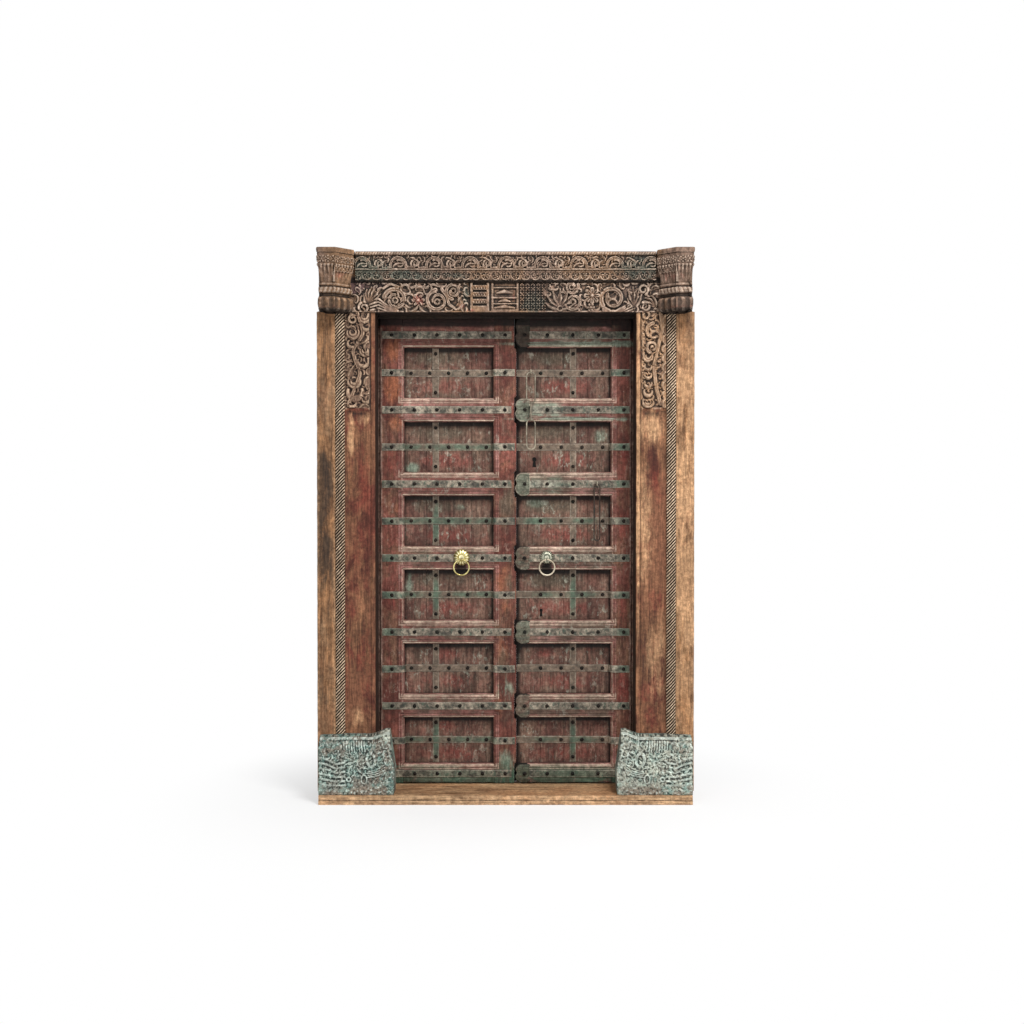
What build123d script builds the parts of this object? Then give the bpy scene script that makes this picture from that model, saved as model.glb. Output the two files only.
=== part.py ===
from build123d import *
import math
import os

os.makedirs("parts", exist_ok=True)

# Driving dimensions in millimetres. X runs right, Y to the back and Z up; the doorway is seen from -Y.

# Frame
jamb_width = 157.0
jamb_depth = 175.0
doorway_width = 1030.0
doorway_height = 1892.0
lintel_height = 232.0
outer_post_width = 73.0
outer_post_proud = 14.0
arris_bead = 14.0
arris_groove = 5.0
arris_chamfer = 4.0

# Shared by all cuts and carvings
cut_overrun = 10.0
carving_root = 2.0

# Base board under the whole frame
base_board_inset = 15.0
base_board_height = 36.0
base_board_reach = 97.5

# Plinth blocks in front of the jambs
plinth_width = 298.0
plinth_inset = 13.0
plinth_height = 228.0
plinth_horn_rise = 23.0
plinth_horn_width = 60.0
plinth_lean = 22.0
plinth_reach = 92.5
plinth_relief = 6.0
plinth_band_height = 22.0
plinth_oval_width = 84.0
plinth_oval_height = 96.0
plinth_oval_rim = 16.0
plinth_rosette_radius = 36.0
plinth_oval_shares = (0.24, 0.74)
plinth_oval_sides = 10
plinth_rosette_share = 0.49
plinth_petals = 7
plinth_petal_share = 0.7
plinth_centre_share = 0.5

# Rope mouldings beside the outer posts
rope_width = 36.0
rope_crest = 18.0
rope_valley = 9.0
rope_strand = 26.0
rope_rise_share = 1.4

# Capitals on the outer posts
capital_width = 142.0
capital_inset = 12.0
capital_height = 248.0
capital_rise = 9.0
capital_reach = 110.0
capital_face_width = 89.0
capital_chamfer_depth = 78.0
capital_flute_width = 12.0
capital_flute_depth = 5.0
capital_flute_count = 4
# Each tier: how far down the capital, and how far in from its widest outline
capital_tier_shares = (
    (0.0, 0.0), (0.1, 0.0), (0.115, 0.035), (0.32, 0.04), (0.34, 0.055), (0.62, 0.125), (0.63, 0.085),
    (0.665, 0.085), (0.68, 0.1), (0.72, 0.05), (0.775, 0.08), (0.79, 0.17), (0.82, 0.1),
    (0.88, 0.045), (0.95, 0.07), (1.0, 0.2),
)
capital_plain_tier_count = 4

# Cornice board across the lintel
cornice_height = 117.0
cornice_reach = 25.0
cornice_rise = 6.0
cornice_bead_height = 16.0
cornice_fillet_height = 6.0
lappet_height = 43.0
lappet_drop = 11.0
lappet_reach = 19.0
lappet_count = 24
lappet_steps = 3
vine_ground_reach = 14.0
vine_relief = 8.0
vine_leaf_relief = 10.0
vine_stem = 9.0
vine_waves = 8.5
vine_steps = 7
vine_swing_share = 0.36
vine_leaf_length = 54.0
vine_leaf_width = 26.0
vine_leaf_place_share = 0.5
# Outline of a vine leaf: share of its length, share of its width
vine_leaf_shares = ((-0.5, -0.1), (-0.1, -0.5), (0.5, -0.2), (0.3, 0.05), (0.35, 0.5), (-0.25, 0.4))

# Carved frieze on the lintel
frieze_height = 122.0
frieze_relief = 10.0
frieze_border = 8.0
frieze_stem = 10.0
frieze_scroll_radius = 42.0
frieze_scroll_eye = 16.0
frieze_boss_radius = 11.0
frieze_boss_relief = 13.0
frieze_boss_sides = 6
frieze_scroll_count = 4
frieze_panel_half_width = 156.0
frieze_lattice_width = 95.0
frieze_lattice_rows = 4
frieze_lattice_bar = 13.0
frieze_lobe_length = 52.0
frieze_lobe_width = 17.0
frieze_lobe_heading = math.radians(75)
frieze_leaf_relief = 8.0
frieze_lattice_relief = 7.0
frieze_border_relief = 6.0
scroll_turns_share = 1.25
scroll_steps = 9
# Outline of the vase in the niche: share of half the niche, share of its height
vase_shares = (
    (-0.5, 0.06), (0.5, 0.06), (0.18, 0.3), (0.6, 0.55), (0.32, 0.88), (-0.32, 0.88), (-0.6, 0.55),
    (-0.18, 0.3),
)

# Carved panels at the heads of the inner jambs
jamb_panel_height = 376.0
jamb_panel_width = 94.0
jamb_panel_gap = 4.0
jamb_relief = 9.0
jamb_stem = 9.0
jamb_stem_relief = 11.0
jamb_stem_steps = 13
jamb_stem_swing_share = 0.16
jamb_lobe_pairs = 5
jamb_lobe_length = 62.0
jamb_lobe_width = 26.0
jamb_lobe_place_share = 0.6
jamb_lobe_root_share = 0.1
jamb_lobe_heading = math.radians(150)
lobe_width_shares = (0.35, 0.9, 1.0, 0.7)
lobe_bend = math.radians(135)

# Leaves
leaf_thickness = 55.0
plank_thickness = 25.0
leaf_top_gap = 5.0
leaf_bottom_gap = 5.0
leaf_side_gap = 8.0
leaf_tongue = 16.0
leaf_tongue_setback = 15.0
jamb_rebate = 10.0
jamb_rebate_gap = 0.5
meeting_gap = 0.6
meeting_chamfer = 3.0
meeting_offset = 43.0
left_hinge_stile_width = 92.0
right_hinge_stile_width = 79.0
meeting_stile_width = 90.0
rail_height = 91.0
top_rail_height = 117.0
bottom_rail_height = 74.0
panel_count = 6
last_panel_share = 0.9224
recess_bevel = 8.0
plank_count = 4
plank_chamfer = 2.5
plank_tongue_gap = 0.5
heel_radius = 20.0

# Carved bosses that end the right leaf's rails, and the notches they lie in
boss_width = 59.0
boss_overhang = 7.0
boss_proud = 8.0
notch_depth = 14.0
notch_clearance = 3.0
# Outline of a boss from its root round to its root: share of its width, share of its rail's height
boss_outline_shares = (
    (0.0, 0.5), (0.62, 0.5), (0.86, 0.4), (0.97, 0.2), (0.85, 0.03), (1.0, -0.16), (0.9, -0.38),
    (0.6, -0.53), (0.25, -0.53), (0.0, -0.47),
)

# Iron straps and nails
strap_thickness = 3.0
rail_strap_height = 32.0
panel_strap_height = 31.0
upright_strap_width = 27.0
left_upright_from_stile = 130.0
right_upright_from_stile = 155.0
strap_end_inset = 6.0
strap_joint_gap = 0.5
top_strap_drop = 70.0
nail_radius = 7.0
nail_height = 5.0
nail_sides = 4
nail_edge = 46.0
left_rail_nails = 6
right_rail_nails = 4
left_panel_nails = 7
right_panel_nails = 5
right_nail_edge = 30.0
right_rail_nail_start = 72.0
right_panel_nail_start = 98.0
upright_nail_edge = 26.0

# Pivots
pivot_inset = 22.0
pivot_back = 20.0
pin_radius = 11.0
pin_root = 60.0
pin_reach = 20.0
pin_tang = 14.0
pin_gap = 0.06
pin_end_gap = 0.3
cup_wall = 5.0
cup_floor = 6.0
cup_bore_sides = 12

# Ring pulls on the fourth rail, below this count of rails
rails_above_ring_count = 3
left_ring_from_meeting = 222.0
right_ring_from_meeting = 123.0
ring_radius = 31.0
ring_bar = 3.5
ring_segments = 16
ring_sides = 6
rose_radius = 33.0
rose_height = 14.0
rose_petals = 9
rose_lug_width = 6.0
rose_lug_height = 15.0
rose_lug_reach = 13.0
rose_lug_root = 4.0
rose_lug_drop = 6.0
ring_gap = 0.9
lug_bore_sides = 8
# Rose profile: share of its height, share of its radius; and how deep the petals' valleys are
rose_tier_shares = ((0.0, 1.0), (0.25, 0.96), (0.7, 0.7), (1.0, 0.36))
rose_valley_share = 0.9

# Chain on the right leaf's first panel, and hasp on its third rail, below this count of rails
rails_above_hasp_count = 2
link_bar = 2.8
link_gap = 0.6
link_width = 40.0
first_link_length = 130.0
middle_link_length = 84.0
middle_link_width = 24.0
last_link_length = 126.0
chain_from_meeting = 58.0
chain_hang_gap = 6.0
hasp_width = 28.0
hasp_length = 234.0
hasp_from_edge = 139.0
hasp_hang_gap = 9.0
staple_inner_height = 11.0
link_sides = 6
link_end_steps = 4

# Planes and lines worked out from the sizes above
back_y = (jamb_depth + capital_reach) / 2
jamb_y = back_y - jamb_depth
post_y = jamb_y - outer_post_proud
half_doorway = doorway_width / 2
jamb_x = half_doorway + jamb_width
half_frame = jamb_x + outer_post_width
soffit_z = base_board_height + doorway_height
lintel_top = soffit_z + lintel_height
capital_top = lintel_top + capital_rise
capital_foot = capital_top - capital_height
capital_outer = half_frame - capital_inset
capital_inner = capital_outer - capital_width
plinth_top = base_board_height + plinth_height
leaf_front = back_y - leaf_thickness
plank_front = back_y - plank_thickness
leaf_foot = base_board_height + leaf_bottom_gap
leaf_top = soffit_z - leaf_top_gap
leaf_edge = half_doorway - leaf_side_gap
all_panels = leaf_top - leaf_foot - top_rail_height - bottom_rail_height - (panel_count - 1) * rail_height
panel_height = all_panels / (panel_count - 1 + last_panel_share)
left_meet = meeting_offset - meeting_gap / 2
right_meet = meeting_offset + meeting_gap / 2
left_recess = (left_hinge_stile_width - leaf_edge, left_meet - meeting_stile_width)
right_recess = (right_meet, leaf_edge - right_hinge_stile_width)
boss_root = right_meet - boss_overhang + boss_width
strap_y = leaf_front - strap_thickness
panel_strap_y = plank_front - strap_thickness
pivot_x = leaf_edge - pivot_inset
pivot_y = back_y - pivot_back
cup_half = pin_radius + cup_wall
cup_height = pin_reach + pin_end_gap + cup_floor
edge_radius = {"left": left_meet + pivot_x, "right": pivot_x - right_meet}


def block(x0, x1, y0, y1, z0, z1):
    """A box between two corners."""
    return Pos((x0 + x1) / 2, (y0 + y1) / 2, (z0 + z1) / 2) * Box(x1 - x0, y1 - y0, z1 - z0)


def mirrored(solid):
    return mirror(solid, about=Plane.YZ)


def post(x, y, radius, z0, z1):
    """An upright cylinder."""
    return Pos(x, y, (z0 + z1) / 2) * Cylinder(radius, z1 - z0)


def raised(points, ground_y, height, root=carving_root):
    """An outline in X and Z raised towards the front from a ground plane, and rooted behind it."""
    plane = Plane(origin=(0, ground_y + root, 0), x_dir=(1, 0, 0), z_dir=(0, -1, 0))
    outline = make_face(Polyline(*points, close=True))
    return extrude(plane * outline, amount=height + root, dir=(0, -1, 0))


def closed_solid(faces):
    return Solid(Shell(faces))


def stacked(sections):
    """A solid with flat faces between outlines of the same number of points, one after another."""
    faces = [polygon_face(sections[0]), polygon_face(sections[-1])]
    for near, far in zip(sections, sections[1:]):
        for j in range(len(near)):
            k = (j + 1) % len(near)
            faces.append(polygon_face([near[j], near[k], far[k], far[j]]))
    return closed_solid(faces)


def polygon_face(points):
    return Face(Wire.make_polygon(points))


def faceted_bar(points, normal, radius, sides, closed):
    """A bar of polygonal section along points in one plane, mitred; its flats lie at the radius."""
    count = len(points)
    corner = radius / math.cos(math.pi / sides)
    rings = []
    for i, point in enumerate(points):
        arrives = (point - points[i - 1]).normalized() if closed or i > 0 else None
        leaves = (points[(i + 1) % count] - point).normalized() if closed or i < count - 1 else None
        arrives = leaves if arrives is None else arrives
        leaves = arrives if leaves is None else leaves
        tangent = (arrives + leaves).normalized()
        across = normal.cross(tangent) * (corner / tangent.dot(arrives))
        angles = [math.tau * (j + 0.5) / sides for j in range(sides)]
        rings.append([point + across * math.cos(a) + normal * (corner * math.sin(a)) for a in angles])
    pairs = [(rings[i], rings[(i + 1) % count]) for i in range(count if closed else count - 1)]
    faces = []
    for near, far in pairs:
        for j in range(sides):
            k = (j + 1) % sides
            faces.append(polygon_face([near[j], near[k], far[k], far[j]]))
    if not closed:
        faces += [polygon_face(rings[0]), polygon_face(rings[-1])]
    return closed_solid(faces)


def lobe(x, z, length, width, heading, bend):
    """Outline of a comma-shaped leaf lobe that bends along an arc from its root to its pointed tip."""
    radius = length / bend
    steps = len(lobe_width_shares)
    near, far = [], []
    for i, share in enumerate(lobe_width_shares):
        angle = heading + bend * i / steps
        px = x + radius * (math.sin(angle) - math.sin(heading))
        pz = z - radius * (math.cos(angle) - math.cos(heading))
        half = width * share / 2
        near.append((px - half * math.sin(angle), pz + half * math.cos(angle)))
        far.append((px + half * math.sin(angle), pz - half * math.cos(angle)))
    end = heading + bend
    tip_x = x + radius * (math.sin(end) - math.sin(heading))
    tip_z = z - radius * (math.cos(end) - math.cos(heading))
    return near + [(tip_x, tip_z)] + far[::-1]


def scroll(x, z, start, hand):
    """Outline of a spiral ribbon that winds in towards its eye and thins as it goes."""
    radius, eye = frieze_scroll_radius, frieze_scroll_eye
    outer, inner = [], []
    for i in range(scroll_steps + 1):
        share = i / scroll_steps
        angle = start + hand * math.tau * scroll_turns_share * share
        middle = radius + (eye - radius) * share
        half = frieze_stem * (1 - share / 2) / 2
        outer.append((x + (middle + half) * math.cos(angle), z + (middle + half) * math.sin(angle)))
        inner.append((x + (middle - half) * math.cos(angle), z + (middle - half) * math.sin(angle)))
    return outer + inner[::-1]


def wave_ribbon(start, end, swing, waves, steps, width):
    """Outline of a ribbon that swings to both sides of the straight line between two points."""
    line = Vector(*end) - Vector(*start)
    along = line.normalized()
    side = Vector(-along.Y, along.X)
    near, far = [], []
    for i in range(steps + 1):
        share = i / steps
        phase = math.tau * waves * share
        slope = swing * math.tau * waves / line.length * math.cos(phase)
        normal = (side - along * slope).normalized() * (width / 2)
        middle = Vector(*start) + line * share + side * (swing * math.sin(phase))
        near.append((middle.X + normal.X, middle.Y + normal.Y))
        far.append((middle.X - normal.X, middle.Y - normal.Y))
    return near + far[::-1]


def regular(x, z, radius_x, radius_z, sides, turn=0.0):
    """Outline of a regular or stretched polygon."""
    angles = [math.tau * (i + turn) / sides for i in range(sides)]
    return [(x + radius_x * math.cos(a), z + radius_z * math.sin(a)) for a in angles]


def cup_block(x, z0, z1):
    """The square iron block of a pivot cup, and the pocket that holds it."""
    return block(x - cup_half, x + cup_half, pivot_y - cup_half, pivot_y + cup_half, z0, z1)


def base_board():
    half = half_frame - base_board_inset
    board = block(-half, half, jamb_y - base_board_reach, back_y, 0, base_board_height)
    for x in (-pivot_x, pivot_x):
        board -= cup_block(x, base_board_height - cup_height, base_board_height + cut_overrun)
    return board


def plinth_block():
    """A block with a horn at its inner top corner, carved with bands, ovals and a rosette."""
    outer = plinth_inset - half_frame
    inner = outer + plinth_width
    ground_y = jamb_y - plinth_reach + plinth_relief
    horn_x = inner - plinth_lean
    horn_z = plinth_top + plinth_horn_rise
    outline = [
        (outer, base_board_height), (inner, base_board_height), (horn_x, horn_z),
        (horn_x - plinth_band_height / 2, horn_z), (horn_x - plinth_horn_width, plinth_top),
        (outer, plinth_top),
    ]
    body = raised(outline, jamb_y, plinth_reach - plinth_relief, root=0)
    middle_z = base_board_height + plinth_height * plinth_centre_share
    forms = []
    for low in (base_board_height, plinth_top - plinth_band_height):
        high = low + plinth_band_height
        band = [(outer, low), (horn_x, low), (horn_x, high), (outer, high)]
        forms.append(raised(band, ground_y, plinth_relief / 2))
    for share in plinth_oval_shares:
        x = outer + plinth_width * share
        wide, high = plinth_oval_width / 2, plinth_oval_height / 2
        rim = raised(regular(x, middle_z, wide, high, plinth_oval_sides), ground_y, plinth_relief)
        hollow = regular(x, middle_z, wide - plinth_oval_rim, high - plinth_oval_rim, plinth_oval_sides)
        forms.append(rim - raised(hollow, ground_y - plinth_relief / 3, plinth_relief, root=0))
    rosette_x = outer + plinth_width * plinth_rosette_share
    star = []
    for i in range(2 * plinth_petals):
        r = plinth_rosette_radius * (plinth_petal_share if i % 2 else 1)
        angle = math.pi * i / plinth_petals
        star.append((rosette_x + r * math.cos(angle), middle_z + r * math.sin(angle)))
    forms.append(raised(star, ground_y, plinth_relief))
    top = plinth_top + cut_overrun
    step = block(-half_frame - cut_overrun, -jamb_x, post_y, jamb_y + cut_overrun, 0, top)
    return body + forms - step


def outer_post():
    return block(-half_frame, -jamb_x, post_y, back_y, base_board_height, lintel_top)


def rope_moulding(x0):
    """A half-round strip cut with steep strands that all climb to the right."""
    x1 = x0 + rope_width
    climb = rope_width * rope_rise_share
    strands = math.ceil((capital_foot - plinth_top + climb) / rope_strand) + 1
    crest_y, valley_y = jamb_y - rope_crest, jamb_y - rope_valley
    foot = plinth_top - climb - rope_strand / 2
    profile = [(x0, jamb_y, foot)]
    for i in range(strands):
        z = foot + i * rope_strand
        profile += [(x0, valley_y, z), (x0, crest_y, z + rope_strand / 2)]
    profile += [(x0, valley_y, foot + strands * rope_strand), (x0, jamb_y, foot + strands * rope_strand)]
    strip = extrude(polygon_face(profile), amount=math.hypot(rope_width, climb), dir=(rope_width, 0, climb))
    return strip & block(x0, x1, crest_y - cut_overrun, jamb_y, plinth_top, capital_foot)


def inner_jamb():
    """A post with a beaded inner arris, a rebate for the leaf and a panel of curling leaves at its head."""
    inner = -half_doorway
    groove = inner - arris_bead
    rebate_y = leaf_front + jamb_rebate_gap
    section = Polyline(
        (-jamb_x, jamb_y), (groove - arris_groove, jamb_y),
        (groove - arris_groove / 2, jamb_y + arris_groove), (groove, jamb_y),
        (inner - arris_chamfer, jamb_y), (inner, jamb_y + arris_chamfer), (inner, rebate_y),
        (inner - jamb_rebate, rebate_y), (inner - jamb_rebate, back_y), (-jamb_x, back_y), close=True,
    )
    body = Pos(0, 0, base_board_height) * extrude(make_face(section), amount=doorway_height, dir=(0, 0, 1))
    low = soffit_z - jamb_panel_height
    high_x = groove - arris_groove - jamb_panel_gap
    low_x = high_x - jamb_panel_width
    middle = (low_x + high_x) / 2
    swing = jamb_panel_width * jamb_stem_swing_share
    foot, head = (middle, low), (middle, soffit_z)
    stem = wave_ribbon(foot, head, swing, jamb_lobe_pairs / 2, jamb_stem_steps, jamb_stem)
    forms = [raised(stem, jamb_y, jamb_stem_relief)]
    spacing = jamb_panel_height / jamb_lobe_pairs
    for i in range(jamb_lobe_pairs):
        for hand in (-1, 1):
            z = low + spacing * (i + jamb_lobe_place_share)
            x = middle + hand * jamb_panel_width * jamb_lobe_root_share
            heading = math.pi / 2 - hand * jamb_lobe_heading
            outline = lobe(x, z, jamb_lobe_length, jamb_lobe_width, heading, hand * lobe_bend)
            forms.append(raised(outline, jamb_y, jamb_relief))
    panel = block(low_x, high_x, jamb_y - jamb_stem_relief, jamb_y + carving_root, low, soffit_z)
    return body + [form & panel for form in forms]


def capital_plan(inset, z):
    """The capital's plan: flat outer side and front, and a face turned towards the doorway."""
    run = capital_width - capital_face_width
    slant = math.hypot(run, capital_chamfer_depth)
    ax, ay = capital_chamfer_depth / slant, run / slant
    outer, front = -capital_outer + inset, jamb_y - capital_reach + inset
    inner = -capital_inner - inset
    turn_x = -capital_outer + capital_face_width - inset * (1 - ay) / ax
    turn_y = jamb_y - capital_reach + capital_chamfer_depth + inset * (1 - ax) / ay
    points = [(outer, jamb_y), (outer, front), (turn_x, front), (inner, turn_y), (inner, jamb_y)]
    return [Vector(x, y, z) for x, y in points]


def capital():
    """A bracket capital: slab, carved band, fluted bell, ring and a bulging foot."""
    sections = []
    for drop_share, inset_share in capital_tier_shares:
        z = capital_top - capital_height * drop_share
        sections.append(capital_plan(capital_width * inset_share, z))
    body = stacked(sections)
    flutes = []
    for side in range(3):
        for i in range(capital_flute_count):
            share = (i + 0.5) / capital_flute_count
            ends = []
            for points in sections[capital_plain_tier_count:][:2]:
                start, end = points[side], points[side + 1]
                along = (end - start).normalized()
                inward = Vector(-along.Y, along.X) * capital_flute_depth
                middle = start + (end - start) * share
                half = along * capital_flute_width
                ends.append([middle - half - inward, middle + half - inward, middle + inward])
            flutes.append(stacked(ends))
    foot, top = capital_foot - cut_overrun, capital_top + cut_overrun
    step = block(-half_frame, -jamb_x, post_y, jamb_y + cut_overrun, foot, top)
    return body - flutes - step


def frieze_half(hand):
    """One side of the frieze: a run of scrolls with bosses in their eyes and leaves between them."""
    start = frieze_panel_half_width
    pitch = (capital_inner - start) / frieze_scroll_count
    middle = soffit_z + (frieze_height + frieze_border) / 2
    boss = frieze_boss_radius
    forms = []
    for i in range(frieze_scroll_count):
        x = hand * (start + pitch * (i + 0.5))
        turn = hand if i % 2 else -hand
        start_angle = turn * math.pi / 2
        forms.append(raised(scroll(x, middle, start_angle, turn), jamb_y, frieze_relief))
        forms.append(raised(regular(x, middle, boss, boss, frieze_boss_sides), jamb_y, frieze_boss_relief))
        leaf_x = hand * (start + pitch * i + frieze_lobe_width / 2)
        for up in (-1, 1):
            leaf_z = middle + up * frieze_lobe_width / 2
            bend = -up * hand * lobe_bend / 2
            heading = up * frieze_lobe_heading
            outline = lobe(leaf_x, leaf_z, frieze_lobe_length, frieze_lobe_width, heading, bend)
            forms.append(raised(outline, jamb_y, frieze_leaf_relief))
    return forms


def frieze_panel():
    """The middle of the frieze: two lattices beside a niche that holds a vase."""
    low, top = soffit_z + frieze_border, soffit_z + frieze_height
    half_bar = frieze_lattice_bar / 2
    niche = frieze_panel_half_width - frieze_lattice_width
    forms = []
    for x0, x1 in ((-frieze_panel_half_width, -niche), (niche, frieze_panel_half_width)):
        for i in range(frieze_lattice_rows):
            z = low + (top - low) * (i + 0.5) / frieze_lattice_rows
            bar = [(x0, z - half_bar), (x1, z - half_bar), (x1, z + half_bar), (x0, z + half_bar)]
            forms.append(raised(bar, jamb_y, frieze_lattice_relief))
    vase = [(niche * u, low + (top - low) * v) for u, v in vase_shares]
    return forms + [raised(vase, jamb_y, frieze_relief)]


def lintel():
    body = block(-jamb_x, jamb_x, jamb_y, back_y, soffit_z, lintel_top)
    half, border_top = capital_inner, soffit_z + frieze_border
    border = [(-half, soffit_z), (half, soffit_z), (half, border_top), (-half, border_top)]
    body += [raised(border, jamb_y, frieze_border_relief)]
    body += frieze_half(-1) + frieze_half(1) + frieze_panel()
    for x in (-pivot_x, pivot_x):
        body -= cup_block(x, soffit_z - cut_overrun, soffit_z + cup_height)
    return body


def cornice_board():
    """A board with a bead on top, a running vine, a fillet and a scalloped row of lappets below."""
    half = capital_inner
    top = lintel_top + cornice_rise
    low = top - cornice_height
    lappet_top = low + lappet_height
    vine_low, vine_top = lappet_top + cornice_fillet_height, top - cornice_bead_height
    ground_y, front_y = jamb_y - vine_ground_reach, jamb_y - cornice_reach
    body = block(-half, half, ground_y, jamb_y, vine_low, vine_top)
    body += block(-half, half, front_y, jamb_y, lappet_top, vine_low)
    body += block(-half, half, front_y, jamb_y, vine_top, top)
    edge = [(half, lappet_top), (-half, lappet_top)]
    pitch = 2 * half / lappet_count
    for i in range(lappet_count):
        for j in range(lappet_steps):
            share = j / lappet_steps
            rise = lappet_drop * (1 - math.sin(math.pi * share))
            edge.append((-half + pitch * (i + share), low + rise))
    edge.append((half, low + lappet_drop))
    body += raised(edge, jamb_y, lappet_reach, root=0)
    middle = (vine_low + vine_top) / 2
    swing = (vine_top - vine_low) * vine_swing_share
    steps = round(vine_waves * vine_steps)
    stem = wave_ribbon((-half, middle), (half, middle), swing, vine_waves, steps, vine_stem)
    forms = [raised(stem, ground_y, vine_relief)]
    wave = 2 * half / vine_waves
    for i in range(math.floor(2 * vine_waves)):
        x = -half + wave * (i + vine_leaf_place_share) / 2
        z = middle - swing / 2 if i % 2 == 0 else middle + swing / 2
        up = 1 if i % 2 == 0 else -1
        leaf = [(x + vine_leaf_length * u, z + up * vine_leaf_width * v) for u, v in vine_leaf_shares]
        forms.append(raised(leaf, ground_y, vine_leaf_relief))
    field = block(-half, half, front_y, jamb_y, vine_low, vine_top)
    return body + [form & field for form in forms]


def pivot_cups():
    """Iron cups let into the board and the lintel, open towards the leaves."""
    hole = RegularPolygon(pin_radius + pin_gap, cup_bore_sides, major_radius=False)
    bore = extrude(hole, amount=cup_height)
    cups = []
    for x in (-pivot_x, pivot_x):
        low = cup_block(x, base_board_height - cup_height, base_board_height)
        high = cup_block(x, soffit_z, soffit_z + cup_height)
        cups.append(low - Pos(x, pivot_y, base_board_height - cup_height + cup_floor) * bore)
        cups.append(high - Pos(x, pivot_y, soffit_z - cup_floor) * bore)
    return cups


def rails():
    """Lowest and highest Z of each rail, from the top of the leaf down."""
    spans = [(leaf_top - top_rail_height, leaf_top)]
    for i in range(panel_count - 1):
        high = leaf_top - top_rail_height - panel_height - i * (panel_height + rail_height)
        spans.append((high - rail_height, high))
    return spans + [(leaf_foot, leaf_foot + bottom_rail_height)]


def recesses():
    """Lowest and highest Z of each panel, from the top down."""
    spans = rails()
    return [(below[1], above[0]) for above, below in zip(spans, spans[1:])]


def strap_heights():
    """Middle of each rail strap: on its rail's middle, and lower on the top rail."""
    middles = [(low + high) / 2 for low, high in rails()]
    return [leaf_top - top_strap_drop] + middles[1:]


def bevels(x0, x1):
    """The sloping arrises round each panel's recess."""
    b = recess_bevel
    cuts = []
    for low, high in recesses():
        inner = [(x0, low), (x1, low), (x1, high), (x0, high)]
        outer = [(x0 - b, low - b), (x1 + b, low - b), (x1 + b, high + b), (x0 - b, high + b)]
        near = [Vector(x, leaf_front, z) for x, z in outer]
        far = [Vector(x, leaf_front + b, z) for x, z in inner]
        cuts.append(stacked([near, far]))
    return cuts


def hinge_stile(inner_x, hand, cuts):
    """A stile with a tongue behind the jamb, a rounded heel, and square sockets for its pivot pins."""
    tip, tongue_y = leaf_edge + leaf_tongue, leaf_front + leaf_tongue_setback
    section = Polyline(
        (inner_x, leaf_front), (hand * leaf_edge, leaf_front), (hand * leaf_edge, tongue_y),
        (hand * tip, tongue_y), (hand * tip, back_y), (inner_x, back_y), close=True,
    )
    stile = Pos(0, 0, leaf_foot) * extrude(make_face(section), amount=leaf_top - leaf_foot, dir=(0, 0, 1))
    corner = stile.edges().filter_by(Axis.Z).sort_by(lambda e: hand * e.center().X + e.center().Y)[-1]
    stile = fillet(corner, heel_radius)
    half, x = pin_tang / 2, hand * pivot_x
    low, high = leaf_foot - cut_overrun, leaf_top + cut_overrun
    for z0, z1 in ((low, leaf_foot + pin_root), (leaf_top - pin_root, high)):
        stile -= block(x - half, x + half, pivot_y - half, pivot_y + half, z0, z1)
    return stile - cuts


def boss_spans():
    """Lowest and highest Z that each boss of the right leaf reaches, from the top down."""
    shares = [v for u, v in boss_outline_shares]
    spans = []
    for low, high in rails():
        middle, tall = (low + high) / 2, high - low
        low_end, high_end = middle + tall * min(shares), middle + tall * max(shares)
        spans.append((max(low_end, leaf_foot), min(high_end, leaf_top)))
    return spans


def meeting_stile(cuts):
    """The left leaf's meeting stile: its edge turns about the pivot, and is notched for the bosses."""
    stile = block(left_recess[1], left_meet, leaf_front, back_y, leaf_foot, leaf_top)
    edge = post(-pivot_x, pivot_y, edge_radius["left"], leaf_foot, leaf_top)
    stile &= edge
    below, above = leaf_foot - cut_overrun, leaf_top + cut_overrun
    root = post(-pivot_x, pivot_y, edge_radius["left"] - notch_depth, below, above)
    reach = notch_depth + cut_overrun
    front, back = leaf_front - reach, back_y + reach
    for low, high in boss_spans():
        low_end = low - notch_clearance if low > leaf_foot else below
        high_end = high + notch_clearance if high < leaf_top else above
        stile -= block(left_meet - reach, left_meet + reach, front, back, low_end, high_end) - root
    inside, outside = left_meet - meeting_chamfer, left_meet + meeting_chamfer
    corners = [(inside, leaf_front), (outside, leaf_front), (outside, leaf_front + 2 * meeting_chamfer)]
    arris = stacked([[Vector(x, y, z) for x, y in corners] for z in (below, above)])
    return stile - arris - cuts


def planks(x0, x1):
    """Upright boards behind the rails, with eased front edges at their joints."""
    width = (x1 - x0) / plank_count
    boards = []
    for i in range(plank_count):
        left = x0 + width * i
        board = block(left, left + width, plank_front, back_y, leaf_foot, leaf_top)
        joints = [e for e in board.edges().filter_by(Axis.Z) if e.center().Y < plank_front + plank_chamfer]
        boards.append(chamfer(joints, plank_chamfer))
    return boards


def right_planks():
    """The right leaf's boards: the first has a turned edge, and tongues behind the bosses."""
    boards = planks(*right_recess)
    edge = post(pivot_x, pivot_y, edge_radius["right"], leaf_foot, leaf_top)
    reach = edge_radius["right"] + notch_depth
    tip = post(pivot_x, pivot_y, reach, leaf_foot, leaf_top)
    first = boards[0] & edge
    root_x = right_meet + plank_chamfer * 2
    for low, high in boss_spans():
        low_end = max(low - notch_clearance + plank_tongue_gap, leaf_foot)
        high_end = min(high + notch_clearance - plank_tongue_gap, leaf_top)
        tongue = block(right_meet - notch_depth, root_x, plank_front, back_y, low_end, high_end)
        first += tongue & tip
    return [first] + boards[1:]


def left_rail(span, cuts):
    return block(left_recess[0], left_recess[1], leaf_front, plank_front, *span) - cuts


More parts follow.
